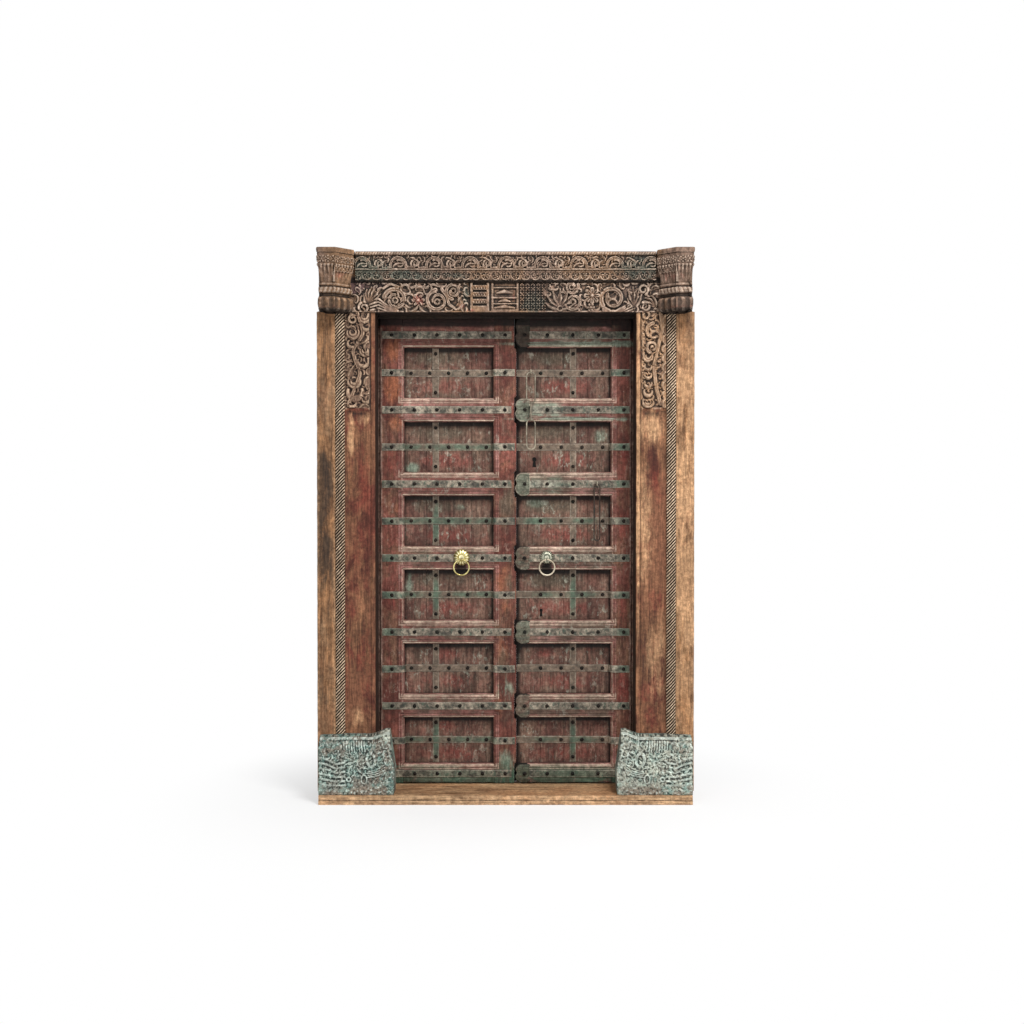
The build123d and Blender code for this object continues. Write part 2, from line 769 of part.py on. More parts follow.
def right_rail(span, cuts):
    """A rail that ends in a lobed boss over the meeting edge."""
    low, high = span
    rail = block(boss_root, right_recess[1], leaf_front, plank_front, low, high) - cuts
    middle = (low + high) / 2
    outline = [(boss_root - boss_width * u, middle + (high - low) * v) for u, v in boss_outline_shares]
    outline = [(x, min(max(z, leaf_foot), leaf_top)) for x, z in outline]
    return rail + raised(outline, plank_front, plank_front - leaf_front + boss_proud, root=0)


def rail_straps(x0, x1):
    half = rail_strap_height / 2
    return [block(x0, x1, strap_y, leaf_front, z - half, z + half) for z in strap_heights()]


def panel_straps(x0, x1, recess):
    """Straps over the panels, bent at the recess to follow the boards and climb onto the stiles."""
    t = strap_thickness
    front, floor = leaf_front, plank_front
    r0, r1 = recess
    back_line = [(r1, floor), (r1, front), (x1, front)]
    front_line = [(x1, front - t), (r1 - t, front - t), (r1 - t, floor - t)]
    if x0 < r0:
        back_line = [(x0, front), (r0, front), (r0, floor)] + back_line
        front_line += [(r0 + t, floor - t), (r0 + t, front - t), (x0, front - t)]
    else:
        back_line = [(x0, floor)] + back_line
        front_line += [(x0, floor - t)]
    profile = make_face(Polyline(*back_line, *front_line, close=True))
    straps = []
    for low, high in recesses():
        z = (low + high - panel_strap_height) / 2
        straps.append(Pos(0, 0, z) * extrude(profile, amount=panel_strap_height, dir=(0, 0, 1)))
    return straps


def upright_straps(middle):
    """Short straps that run from the panel strap up and down to the rails."""
    half = upright_strap_width / 2
    straps = []
    for low, high in recesses():
        z = (low + high) / 2
        reach = panel_strap_height / 2 + strap_joint_gap
        for z0, z1 in ((low, z - reach), (z + reach, high)):
            straps.append(block(middle - half, middle + half, panel_strap_y, plank_front, z0, z1))
    return straps


def spread(start, end, count):
    return [start + (end - start) * i / (count - 1) for i in range(count)]


def nail_head():
    """A rose-head nail: facets hammered down from one peak."""
    base = [Vector(x, 0, z) for x, z in regular(0, 0, nail_radius, nail_radius, nail_sides, turn=0.5)]
    peak = Vector(0, -nail_height, 0)
    faces = [polygon_face([base[i], base[(i + 1) % nail_sides], peak]) for i in range(nail_sides)]
    return closed_solid(faces + [polygon_face(base)])


def nails(rail_xs, panel_xs, recess, upright_x, fittings):
    """Nails along the straps, left out where a fitting covers its rail."""
    head = nail_head()
    places = []
    for i, z in enumerate(strap_heights()):
        covered = [x for rail, x in fittings if rail == i]
        for x in rail_xs:
            if all(abs(x - other) > rose_radius + nail_radius for other in covered):
                places.append((x, strap_y, z))
    for low, high in recesses():
        for x in panel_xs:
            inside = recess[0] < x < recess[1]
            places.append((x, panel_strap_y if inside else strap_y, (low + high) / 2))
        for z in (low + upright_nail_edge, high - upright_nail_edge):
            places.append((upright_x, panel_strap_y, z))
    return [head.moved(Location(place)) for place in places]


def pivot_pins(x):
    """Round pins with square tangs, at the foot and the head of a leaf."""
    low, high, half = base_board_height - pin_reach, soffit_z + pin_reach, pin_tang / 2
    foot = post(x, pivot_y, pin_radius, low, leaf_foot)
    foot += block(x - half, x + half, pivot_y - half, pivot_y + half, leaf_foot, leaf_foot + pin_root)
    head = post(x, pivot_y, pin_radius, leaf_top, high)
    head += block(x - half, x + half, pivot_y - half, pivot_y + half, leaf_top - pin_root, leaf_top)
    return [foot, head]


def ring_place(x):
    """Middle of the ring's bar where it passes through the lug."""
    z = strap_heights()[rails_above_ring_count] - rose_lug_drop
    return Vector(x, strap_y - rose_height - rose_lug_reach / 2, z)


def rose(x):
    """A petalled dome with a lug that the ring hangs in."""
    z = strap_heights()[rails_above_ring_count]
    sections = []
    for height_share, radius_share in rose_tier_shares:
        points = []
        for i in range(2 * rose_petals):
            r = rose_radius * radius_share * (rose_valley_share if i % 2 else 1)
            angle = math.pi * i / rose_petals
            y = strap_y - rose_height * height_share
            points.append(Vector(x + r * math.cos(angle), y, z + r * math.sin(angle)))
        sections.append(points)
    eye = ring_place(x)
    half, wide = rose_lug_height / 2, rose_lug_width / 2
    front, back = strap_y - rose_height - rose_lug_reach, strap_y - rose_height + rose_lug_root
    lug = block(x - wide, x + wide, front, back, eye.Z - half, eye.Z + half)
    hole = RegularPolygon(ring_bar + ring_gap, lug_bore_sides, major_radius=False)
    bore = extrude(Plane(origin=eye, z_dir=(1, 0, 0)) * hole, amount=rose_lug_width, both=True)
    return stacked(sections) + lug - bore


def ring(x):
    eye = ring_place(x)
    reach = ring_radius / math.cos(math.pi / ring_segments)
    angles = [math.tau * (i + 0.5) / ring_segments + math.pi / 2 for i in range(ring_segments)]
    points = [
        Vector(x + reach * math.cos(a), eye.Y, eye.Z - ring_radius + reach * math.sin(a)) for a in angles
    ]
    return faceted_bar(points, Vector(0, 1, 0), ring_bar, ring_sides, True)


def link(top, length, width, across):
    """A long link of round bar that hangs from the middle of its top bend."""
    a = width / 2 - link_bar
    straight = length - 2 * link_bar - 2 * a
    reach = a / math.cos(math.pi / (2 * link_end_steps))
    turns = [math.pi * (i + 0.5) / link_end_steps for i in range(link_end_steps)]
    upper = [(reach * math.cos(t), reach * math.sin(t) - a) for t in turns]
    lower = [(-u, -v - 2 * a - straight) for u, v in upper]
    points = [top + across * u + Vector(0, 0, v) for u, v in upper + lower]
    return faceted_bar(points, across.cross(Vector(0, 0, 1)), link_bar, link_sides, True)


chain_x = meeting_offset + chain_from_meeting
chain_z = sum(recesses()[0]) / 2
chain_y = strap_y - chain_hang_gap - middle_link_width / 2
hasp_x = leaf_edge - hasp_from_edge
hasp_z = strap_heights()[rails_above_hasp_count]
hasp_y = strap_y - hasp_hang_gap
bar_pitch = 2 * link_bar + link_gap


def staple(x, seat_y, hang_y, z):
    """A driven eye: two legs, one over the other, joined by a nose in front of the link."""
    low = z - link_bar - link_gap - link_bar
    high = low + staple_inner_height + 2 * link_bar
    nose = hang_y - bar_pitch
    points = [
        Vector(x, seat_y, low), Vector(x, nose + link_bar, low),
        Vector(x, nose - link_bar, low + 2 * link_bar), Vector(x, nose - link_bar, high - 2 * link_bar),
        Vector(x, nose + link_bar, high), Vector(x, seat_y, high),
    ]
    return faceted_bar(points, Vector(1, 0, 0), link_bar, link_sides, False)


def chain_tops():
    """Middle of the top bend of each chain link, hung one in the other."""
    first = Vector(chain_x, chain_y, chain_z)
    second = first - Vector(0, 0, first_link_length - 2 * link_bar - bar_pitch)
    third = second - Vector(0, 0, middle_link_length - 2 * link_bar - bar_pitch)
    return first, second, third


nodes = {"base_board": base_board(), "lintel": lintel()}
nodes["cornice_board"] = cornice_board()
nodes["pivot_cups"] = pivot_cups()

for name, maker in (
    ("plinth_block", plinth_block), ("outer_post", outer_post),
    ("inner_jamb", inner_jamb), ("capital", capital),
):
    solid = maker()
    nodes["left_" + name] = solid
    nodes["right_" + name] = mirrored(solid)

nodes["left_rope_moulding"] = rope_moulding(-jamb_x)
nodes["right_rope_moulding"] = rope_moulding(jamb_x - rope_width)

left_cuts, right_cuts = bevels(*left_recess), bevels(right_recess[0] - boss_width, right_recess[1])
nodes["left_hinge_stile"] = hinge_stile(left_recess[0], -1, left_cuts)
nodes["left_meeting_stile"] = meeting_stile(left_cuts)
nodes["right_hinge_stile"] = hinge_stile(right_recess[1], 1, right_cuts)
nodes["left_planks"] = planks(*left_recess)
nodes["right_planks"] = right_planks()
for i, span in enumerate(rails()):
    nodes[f"left_rail_{i + 1}"] = left_rail(span, left_cuts)
    nodes[f"right_rail_{i + 1}"] = right_rail(span, right_cuts)

left_ends = (strap_end_inset - leaf_edge, left_meet - strap_end_inset)
right_end = leaf_edge - strap_end_inset
nodes["left_rail_straps"] = rail_straps(left_ends[0], left_ends[1] - notch_depth)
nodes["right_rail_straps"] = rail_straps(boss_root + strap_joint_gap, right_end)
nodes["left_panel_straps"] = panel_straps(*left_ends, left_recess)
nodes["right_panel_straps"] = panel_straps(right_meet, right_end, right_recess)
left_upright_x = left_recess[0] + left_upright_from_stile
right_upright_x = right_recess[1] - right_upright_from_stile
nodes["left_upright_straps"] = upright_straps(left_upright_x)
nodes["right_upright_straps"] = upright_straps(right_upright_x)

left_ring_x = meeting_offset - left_ring_from_meeting
right_ring_x = meeting_offset + right_ring_from_meeting
left_nail_ends = (nail_edge - leaf_edge, left_meet - nail_edge)
right_nail_ends = (boss_root + right_rail_nail_start, leaf_edge - right_nail_edge)
right_panel_nail_ends = (right_meet + right_panel_nail_start, leaf_edge - right_nail_edge)
nodes["left_nails"] = nails(
    spread(*left_nail_ends, left_rail_nails), spread(*left_nail_ends, left_panel_nails),
    left_recess, left_upright_x, [(rails_above_ring_count, left_ring_x)],
)
nodes["right_nails"] = nails(
    spread(*right_nail_ends, right_rail_nails), spread(*right_panel_nail_ends, right_panel_nails),
    right_recess, right_upright_x, [(rails_above_ring_count, right_ring_x), (rails_above_hasp_count, hasp_x)],
)

for side, x, pull_x in (("left", -pivot_x, left_ring_x), ("right", pivot_x, right_ring_x)):
    nodes[side + "_pivot_pins"] = pivot_pins(x)
    nodes[side + "_rose"] = rose(pull_x)
    nodes[side + "_ring"] = ring(pull_x)

sideways, forwards = Vector(1, 0, 0), Vector(0, 1, 0)
first_top, second_top, third_top = chain_tops()
nodes["chain_staple"] = staple(chain_x, panel_strap_y, chain_y, chain_z)
nodes["chain_link_1"] = link(first_top, first_link_length, link_width, sideways)
nodes["chain_link_2"] = link(second_top, middle_link_length, middle_link_width, forwards)
nodes["chain_link_3"] = link(third_top, last_link_length, link_width, sideways)
nodes["hasp_staple"] = staple(hasp_x, strap_y, hasp_y, hasp_z)
nodes["hasp_link"] = link(Vector(hasp_x, hasp_y, hasp_z), hasp_length, hasp_width, sideways)

for name, made in nodes.items():
    export_step(Compound(made) if isinstance(made, list) else made, f"parts/{name}.step")
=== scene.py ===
# %% [markdown]
# # A carved double door in its frame
#
# The door is an old one: a heavy carved frame, and two unequal leaves of painted boards held together by
# iron straps. The imported CAD model gives every size and every moving body. This lesson dresses it: each
# plain solid is replaced by a mesh with carving, worn arrises and hammered iron.
#
# The CAD meshes are only hidden, so they stay in the scene; the box round the dressed door is measured at the
# end.

# %% Load the frame
import bpy
import math
import numpy as np
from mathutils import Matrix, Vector


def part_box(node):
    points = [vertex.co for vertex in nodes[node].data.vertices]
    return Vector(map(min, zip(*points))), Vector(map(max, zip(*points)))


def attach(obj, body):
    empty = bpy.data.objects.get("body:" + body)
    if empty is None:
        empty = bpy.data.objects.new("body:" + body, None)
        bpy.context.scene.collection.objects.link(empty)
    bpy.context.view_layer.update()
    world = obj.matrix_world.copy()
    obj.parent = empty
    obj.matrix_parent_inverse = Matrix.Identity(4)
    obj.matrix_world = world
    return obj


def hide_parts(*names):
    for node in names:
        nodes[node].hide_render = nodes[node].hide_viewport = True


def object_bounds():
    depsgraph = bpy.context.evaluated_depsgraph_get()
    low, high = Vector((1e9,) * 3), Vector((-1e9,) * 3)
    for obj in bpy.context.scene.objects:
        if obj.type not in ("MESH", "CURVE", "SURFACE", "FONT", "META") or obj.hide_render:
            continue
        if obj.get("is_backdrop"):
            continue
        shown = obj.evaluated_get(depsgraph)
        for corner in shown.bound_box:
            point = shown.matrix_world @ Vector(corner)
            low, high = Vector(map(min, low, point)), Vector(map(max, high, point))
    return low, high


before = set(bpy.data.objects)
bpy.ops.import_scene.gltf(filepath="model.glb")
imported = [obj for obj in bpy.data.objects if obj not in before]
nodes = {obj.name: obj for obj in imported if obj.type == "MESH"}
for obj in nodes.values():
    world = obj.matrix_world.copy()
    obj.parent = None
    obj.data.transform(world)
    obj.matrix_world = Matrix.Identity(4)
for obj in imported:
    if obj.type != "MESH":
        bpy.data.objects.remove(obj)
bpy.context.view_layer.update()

# %% [markdown]
# ## Planes that many pieces share
#
# The pieces are measured in millimetres; only the camera, the lamps and the finishes use metres. The y axis
# runs from front to back and z runs up, as in the CAD model. The frame's planes come first, then the leaves'.

# %% Shared planes
POST_FACE, FRAME_FACE, REBATE, BACK = -46.5, -32.5, 88.0, 142.5
BOARD_TOP, LINTEL_FOOT, JAMB_EDGE = 36, 1928, 672
LEAF_FACE, BOARD_FACE = 87.5, 117.5
LEAF_FOOT, LEAF_HEAD = 41, 1923
print("post depth", BACK - POST_FACE, "leaf height", LEAF_HEAD - LEAF_FOOT)

# %% [markdown]
# ## The camera
#
# The picture was taken from about five metres away and at chest height, with the camera level but for a
# degree. A square picture with a 36 mm sensor and a lens of 47 mm gives the same perspective: the inner
# sides of the jambs just show, and the tops of the plinth blocks too.

# %% Camera
camera = bpy.data.objects.new("camera", bpy.data.cameras.new("camera"))
bpy.context.scene.collection.objects.link(camera)
camera.data.sensor_width = 36.0
camera.data.lens = 47.11
camera.location = (0.025, -5.3325, 1.224)
camera.rotation_euler = (math.radians(90 - 0.9), 0, 0)
camera.data.clip_end = 100.0
bpy.context.scene.camera = camera
bpy.context.scene.view_settings.view_transform = "Standard"
print("camera at", tuple(camera.location))

# %% [markdown]
# ## The studio
#
# The door stands on a white sweep. Camera rays see plain white behind it, while the light that reaches the
# door is softer and comes mostly from above and from the right. A strong overhead key darkens the band
# under the lintel and the upper edge of every panel, and painted shade on both makes them darker still.

# %% Floor, world and lamps
def new_material(name):
    material = bpy.data.materials.new(name)
    material.use_nodes = True
    return material, material.node_tree.nodes, material.node_tree.links


def make_floor():
    mesh = bpy.data.meshes.new("studio_floor")
    size = 14.0
    mesh.from_pydata([(-size, -size, 0), (size, -size, 0), (size, size, 0), (-size, size, 0)],
                     [], [(0, 1, 2, 3)])
    floor = bpy.data.objects.new("studio_floor", mesh)
    bpy.context.scene.collection.objects.link(floor)
    material, tree, links = new_material("studio_floor")
    shader = tree["Principled BSDF"]
    shader.inputs["Base Color"].default_value = (0.93, 0.93, 0.93, 1)
    shader.inputs["Roughness"].default_value = 0.8
    shader.inputs["Specular IOR Level"].default_value = 0.2
    glow = tree.new("ShaderNodeEmission")
    path, mix = tree.new("ShaderNodeLightPath"), tree.new("ShaderNodeMixShader")
    place, away = tree.new("ShaderNodeTexCoord"), tree.new("ShaderNodeVectorMath")
    fade = tree.new("ShaderNodeMapRange")
    away.operation = "LENGTH"
    fade.interpolation_type = "SMOOTHSTEP"
    for socket, value in (("From Min", 0.3), ("From Max", 1.5), ("To Min", 0.38), ("To Max", 1.0)):
        fade.inputs[socket].default_value = value
    links.new(place.outputs["Object"], away.inputs[0])
    links.new(away.outputs["Value"], fade.inputs["Value"])
    share = tree.new("ShaderNodeMath")
    share.operation = "MULTIPLY"
    links.new(path.outputs["Is Camera Ray"], share.inputs[0])
    links.new(fade.outputs["Result"], share.inputs[1])
    links.new(share.outputs[0], mix.inputs["Fac"])
    links.new(shader.outputs[0], mix.inputs[1])
    links.new(glow.outputs[0], mix.inputs[2])
    links.new(mix.outputs[0], tree["Material Output"].inputs["Surface"])
    mesh.materials.append(material)
    floor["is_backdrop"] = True


def make_world():
    world = bpy.data.worlds.new("studio")
    world.use_nodes = True
    bpy.context.scene.world = world
    tree, links = world.node_tree.nodes, world.node_tree.links
    path = tree.new("ShaderNodeLightPath")
    seen, add = tree.new("ShaderNodeMath"), tree.new("ShaderNodeMath")
    seen.operation = add.operation = "MAXIMUM"
    links.new(path.outputs["Is Camera Ray"], seen.inputs[0])
    links.new(path.outputs["Is Glossy Ray"], seen.inputs[1])
    links.new(seen.outputs[0], add.inputs[0])
    links.new(path.outputs["Is Transmission Ray"], add.inputs[1])
    strength = tree.new("ShaderNodeMapRange")
    strength.inputs["To Min"].default_value = 0.3
    strength.inputs["To Max"].default_value = 1.0
    links.new(add.outputs[0], strength.inputs["Value"])
    tree["Background"].inputs["Color"].default_value = (1, 1, 1, 1)
    links.new(strength.outputs["Result"], tree["Background"].inputs["Strength"])


def area_lamp(name, place, target, size, power):
    data = bpy.data.lights.new(name, "AREA")
    data.shape = "RECTANGLE"
    data.size, data.size_y = size
    data.energy = power
    lamp = bpy.data.objects.new(name, data)
    lamp.location = place
    lamp.rotation_euler = (Vector(target) - Vector(place)).to_track_quat("-Z", "Y").to_euler()
    bpy.context.scene.collection.objects.link(lamp)


make_floor()
make_world()
area_lamp("key", (1.5, -3.0, 5.2), (0, 0, 1.0), (1.5, 1.2), 270)
area_lamp("fill", (-2.8, -5.2, 2.4), (0, 0, 1.0), (2.5, 2.5), 60)
area_lamp("side", (4.2, -3.2, 1.6), (0.3, 0, 0.9), (1.2, 2.4), 45)
print("studio ready")

# %% [markdown]
# ## Meshes from arrays
#
# Most pieces here are grids of points worked out with NumPy: a carved board is a height map, a stile is a
# worn section pulled along a line. Writing them straight into a mesh is quick and keeps every point under
# control. Each point also gets marks: `edge`, where hands and weather wear it pale, and in some places a
# painted highlight; `cavity`, where dirt stays, and in many places painted shade; and others for stains.
# The materials read them by name. Millimetres are turned into metres here.

# %% Mesh helper
def add_piece(name, points, faces, body, material, stands_for=(), marks=None, crease=35):
    mesh = bpy.data.meshes.new(name)
    points = np.asarray(points, np.float32) / 1000.0
    mesh.vertices.add(len(points))
    mesh.vertices.foreach_set("co", points.ravel())
    faces = [np.asarray(f, np.int32) for f in faces if len(f)]
    counts = np.concatenate([np.full(len(f), f.shape[1]) for f in faces])
    mesh.loops.add(int(counts.sum()))
    mesh.loops.foreach_set("vertex_index", np.concatenate([f.ravel() for f in faces]))
    mesh.polygons.add(len(counts))
    mesh.polygons.foreach_set("loop_start", np.concatenate([[0], np.cumsum(counts)[:-1]]).astype(np.int32))
    mesh.polygons.foreach_set("use_smooth", np.ones(len(counts), bool))
    mesh.update(calc_edges=True)
    for mark, values in (marks or {}).items():
        layer = mesh.attributes.new(mark, "FLOAT", "POINT")
        layer.data.foreach_set("value", np.clip(values, 0, 1).astype(np.float32).ravel())
    mesh.set_sharp_from_angle(angle=math.radians(crease))
    mesh.materials.append(material)
    piece = bpy.data.objects.new(name, mesh)
    bpy.context.scene.collection.objects.link(piece)
    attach(piece, body)
    if stands_for:
        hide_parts(*stands_for)
    print(name, len(points), "points")


def grid_faces(rows, columns, wrap=False, loop=False):
    """Quads of a grid of points, row after row; wrap joins its end columns, and loop its end rows."""
    index = np.arange(rows * columns).reshape(rows, columns)
    if loop:
        index = np.concatenate([index, index[:1]])
    right = np.roll(index, -1, axis=1) if wrap else index[:, 1:]
    left = index if wrap else index[:, :-1]
    quads = np.stack([left[:-1], right[:-1], right[1:], left[1:]], axis=-1)
    return quads.reshape(-1, 4)


def end_fans(rows, columns):
    """Triangles that close both ends of a wrapped grid, round two middle points stored after it."""
    here, there = np.arange(columns), (np.arange(columns) + 1) % columns
    last, middle = (rows - 1) * columns, np.full(columns, rows * columns)
    return np.concatenate([np.stack([here, middle, there], -1),
                           np.stack([last + there, middle + 1, last + here], -1)])


def ring(x, z, wide, tall, angles):
    """Places at the given angles on an oval about x, z."""
    return np.stack([x + wide * np.cos(angles), z + tall * np.sin(angles)], 1)


def value_noise(u, v, seed):
    """Smooth noise from 0 to 1 on a unit lattice."""
    table = np.random.default_rng(seed).random((97, 89))
    u, v = np.asarray(u, float), np.asarray(v, float)
    iu, iv = np.floor(u).astype(int), np.floor(v).astype(int)
    fu, fv = u - iu, v - iv
    fu, fv = fu * fu * (3 - 2 * fu), fv * fv * (3 - 2 * fv)
    a, b = table[iu % 97, iv % 89], table[(iu + 1) % 97, iv % 89]
    c, d = table[iu % 97, (iv + 1) % 89], table[(iu + 1) % 97, (iv + 1) % 89]
    return (a * (1 - fu) + b * fu) * (1 - fv) + (c * (1 - fu) + d * fu) * fv


def ripple(u, v, seed):
    """Three layers of noise, from -1 to 1."""
    total = sum(value_noise(u * 2 ** k, v * 2 ** k, seed + k) / 2 ** k for k in range(3))
    return total / 1.75 * 2 - 1


def blur(field, cells):
    """A box blur in both directions, run twice for a rounder shape."""
    for _ in range(2):
        for axis in (0, 1):
            pad = [(cells + 1, cells) if a == axis else (0, 0) for a in (0, 1)]
            run = np.cumsum(np.pad(field, pad, mode="edge"), axis=axis)
            n = field.shape[axis]
            high = np.take(run, np.arange(2 * cells + 1, 2 * cells + 1 + n), axis=axis)
            low = np.take(run, np.arange(0, n), axis=axis)
            field = (high - low) / (2 * cells + 1)
    return field


# %% [markdown]
# ## Finishes: shared effects
#
# The whole door is old paint and old wood, so the same effects come back in every finish. *Long grain* is
# noise stretched along the board. *Flaked paint* is a patchy mask with hard borders, where paint came off.
# *Wear, dirt and painted light* turns the points' marks into a pale mask on arrises and painted highlights
# and a dark mask in hollows and painted shade, both broken up by noise so that no edge wears evenly.
# *Mottled*,
# *Torn patch* and *Second tone* add stains, older coats and a change of timber colour, and *Ring dark patch*
# a round dark patch inside each ring. Each is one node group with its own values in a material.

# %% Node helpers and groups
def colour(text):
    """A colour written as in a paint chart, turned into the linear values that Blender uses."""
    parts = [int(text[i:i + 2], 16) / 255 for i in (1, 3, 5)]
    return tuple(c / 12.92 if c < 0.04045 else ((c + 0.055) / 1.055) ** 2.4 for c in parts) + (1.0,)


class Tree:
    """Short calls for the nodes that the finishes use."""

    def __init__(self, tree):
        self.nodes, self.links = tree.nodes, tree.links

    def put(self, socket, value):
        if isinstance(value, bpy.types.NodeSocket):
            self.links.new(value, socket)
        else:
            socket.default_value = value

    def coords(self, stretch):
        mapping = self.nodes.new("ShaderNodeMapping")
        source = self.nodes.new("ShaderNodeTexCoord")
        self.links.new(source.outputs["Object"], mapping.inputs["Vector"])
        self.put(mapping.inputs["Scale"], stretch)
        return mapping.outputs["Vector"]

    def noise(self, stretch, scale, detail=6.0, rough=0.6, distortion=0.0):
        node = self.nodes.new("ShaderNodeTexNoise")
        self.put(node.inputs["Vector"], self.coords(stretch) if isinstance(stretch, tuple) else stretch)
        for socket, value in (("Scale", scale), ("Detail", detail), ("Roughness", rough),
                              ("Distortion", distortion)):
            self.put(node.inputs[socket], value)
        return node.outputs["Fac"]

    def stretched(self, direction):
        node = self.nodes.new("ShaderNodeVectorMath")
        node.operation = "MULTIPLY"
        self.put(node.inputs[0], self.coords((1, 1, 1)))
        self.put(node.inputs[1], direction)
        return node.outputs[0]

    def math(self, operation, a, b):
        node = self.nodes.new("ShaderNodeMath")
        node.operation = operation
        self.put(node.inputs[0], a)
        self.put(node.inputs[1], b)
        return node.outputs[0]

    def times(self, a, b):
        return self.math("MULTIPLY", a, b)

    def plus(self, a, b):
        return self.math("ADD", a, b)

    def step(self, value, low, high):
        node = self.nodes.new("ShaderNodeMapRange")
        node.interpolation_type = "SMOOTHSTEP"
        self.put(node.inputs["Value"], value)
        self.put(node.inputs["From Min"], low)
        self.put(node.inputs["From Max"], high)
        return node.outputs["Result"]

    def mix(self, share, a, b, blend="MIX"):
        node = self.nodes.new("ShaderNodeMix")
        node.data_type, node.blend_type = "RGBA", blend
        self.put(node.inputs["Factor"], share)
        self.put(node.inputs[6], a)
        self.put(node.inputs[7], b)
        return node.outputs[2]

    def mark(self, name):
        node = self.nodes.new("ShaderNodeAttribute")
        node.attribute_name = name
        return node.outputs["Fac"]

    def group(self, made, **values):
        node = self.nodes.new("ShaderNodeGroup")
        node.node_tree = made
        for name, value in values.items():
            self.put(node.inputs[name.replace("_", " ").capitalize()], value)
        return node.outputs

    def bump(self, height, distance, strength=1.0):
        node = self.nodes.new("ShaderNodeBump")
        self.put(node.inputs["Height"], height)
        self.put(node.inputs["Distance"], distance)
        self.put(node.inputs["Strength"], strength)
        return node.outputs["Normal"]


def new_group(name, inputs, outputs):
    made = bpy.data.node_groups.new(name, "ShaderNodeTree")
    for socket, kind, value in inputs:
        made.interface.new_socket(name=socket, in_out="INPUT", socket_type=kind).default_value = value
    for socket, kind in outputs:
        made.interface.new_socket(name=socket, in_out="OUTPUT", socket_type=kind)
    tree = Tree(made)
    return made, tree, tree.nodes.new("NodeGroupInput").outputs, tree.nodes.new("NodeGroupOutput").inputs


NUMBER, TINT, ARROW = "NodeSocketFloat", "NodeSocketColor", "NodeSocketVector"


def make_long_grain():
    made, tree, given, out = new_group("Long grain",
                                       [("Direction", ARROW, (6, 6, 1)), ("Dark", TINT, (0, 0, 0, 1)),
                                        ("Light", TINT, (1, 1, 1, 1))],
                                       [("Colour", TINT), ("Height", NUMBER)])
    along = tree.stretched(given["Direction"])
    fibres = tree.noise(along, 9.0, 8.0, 0.65, 0.35)
    bands = tree.noise(along, 2.6, 4.0, 0.55, 0.8)
    both = tree.plus(tree.times(fibres, 0.6), tree.times(bands, 0.4))
    tree.put(out["Colour"], tree.mix(tree.step(both, 0.36, 0.64), given["Dark"], given["Light"]))
    tree.put(out["Height"], both)
    return made


def make_flaked_paint():
    made, tree, given, out = new_group(
        "Flaked paint", [("Scale", NUMBER, 9.0), ("Cover", NUMBER, 0.5), ("Softness", NUMBER, 0.06)],
        [("Paint", NUMBER), ("Height", NUMBER)])
    large = tree.noise((1.0, 1.0, 0.6), given["Scale"], 9.0, 0.72, 0.4)
    high = tree.plus(given["Cover"], given["Softness"])
    low = tree.math("SUBTRACT", given["Cover"], given["Softness"])
    paint = tree.math("SUBTRACT", 1.0, tree.step(large, low, high))
    tree.put(out["Paint"], paint)
    tree.put(out["Height"], paint)
    return made


# Pale mask: wear, and a painted highlight where the edge mark stands for light. Dark mask: dirt, and painted
# shade where the cavity mark stands for shade.
def make_wear_dirt_and_painted_light():
    made, tree, given, out = new_group(
        "Wear, dirt and painted light", [("Wear", NUMBER, 1.0), ("Dirt", NUMBER, 1.0), ("Scale", NUMBER, 40.0)],
        [("Worn and lit", NUMBER), ("Dirty and shaded", NUMBER)])
    speckle = tree.noise((1, 1, 1), given["Scale"], 6.0, 0.7)
    edge = tree.times(tree.mark("edge"), given["Wear"])
    worn = tree.step(tree.plus(edge, tree.times(speckle, 0.7)), 0.62, 1.05)
    hollow = tree.times(tree.mark("cavity"), given["Dirt"])
    dirt_and_shade_strength = tree.step(tree.plus(hollow, tree.times(speckle, 0.35)), 0.3, 0.95)
    tree.put(out["Worn and lit"], worn)
    tree.put(out["Dirty and shaded"], dirt_and_shade_strength)
    return made


def make_mottled():
    """Small stains and pale scratches over everything, as a colour to multiply by."""
    made, tree, given, out = new_group("Mottled", [("Direction", ARROW, (6, 6, 1))], [("Colour", TINT)])
    streaks = tree.noise(tree.stretched(given["Direction"]), 17.0, 6.0, 0.7, 0.2)
    spots = tree.noise((1, 1, 1), 75.0, 7.0, 0.72)
    broad = tree.noise((1, 1, 0.6), 4.0, 5.0, 0.6)
    fine = tree.mix(tree.step(spots, 0.3, 0.7), (0.42, 0.40, 0.38, 1), (1.38, 1.38, 1.38, 1))
    lines = tree.mix(tree.step(streaks, 0.32, 0.68), (0.5, 0.48, 0.46, 1), (1.3, 1.3, 1.3, 1))
    wide = tree.mix(tree.step(broad, 0.36, 0.66), (0.78, 0.76, 0.75, 1), (1.14, 1.14, 1.14, 1))
    tree.put(out["Colour"], tree.mix(1.0, tree.mix(1.0, fine, lines, "MULTIPLY"), wide, "MULTIPLY"))
    return made


def make_torn_patch():
    """Turns a soft mark into a patch with a torn outline and flecks round it."""
    made, tree, given, out = new_group("Torn patch", [("Mark", NUMBER, 0.0), ("Stretch", ARROW, (1, 1, 1))],
                                       [("Share", NUMBER)])
    torn = tree.noise(tree.stretched(given["Stretch"]), 30.0, 8.0, 0.75, 0.5)
    ragged = tree.times(given["Mark"], tree.plus(tree.times(torn, 2.6), -0.55))
    tree.put(out["Share"], tree.step(ragged, 0.22, 0.62))
    return made


def make_second_tone():
    """Where the timber changes to its other colour, in long clouds."""
    made, tree, given, out = new_group("Second tone", [("Scale", NUMBER, 3.4)], [("Share", NUMBER)])
    tree.put(out["Share"], tree.step(tree.noise((1.0, 1.0, 0.7), given["Scale"], 6.0, 0.62), 0.45, 0.62))
    return made


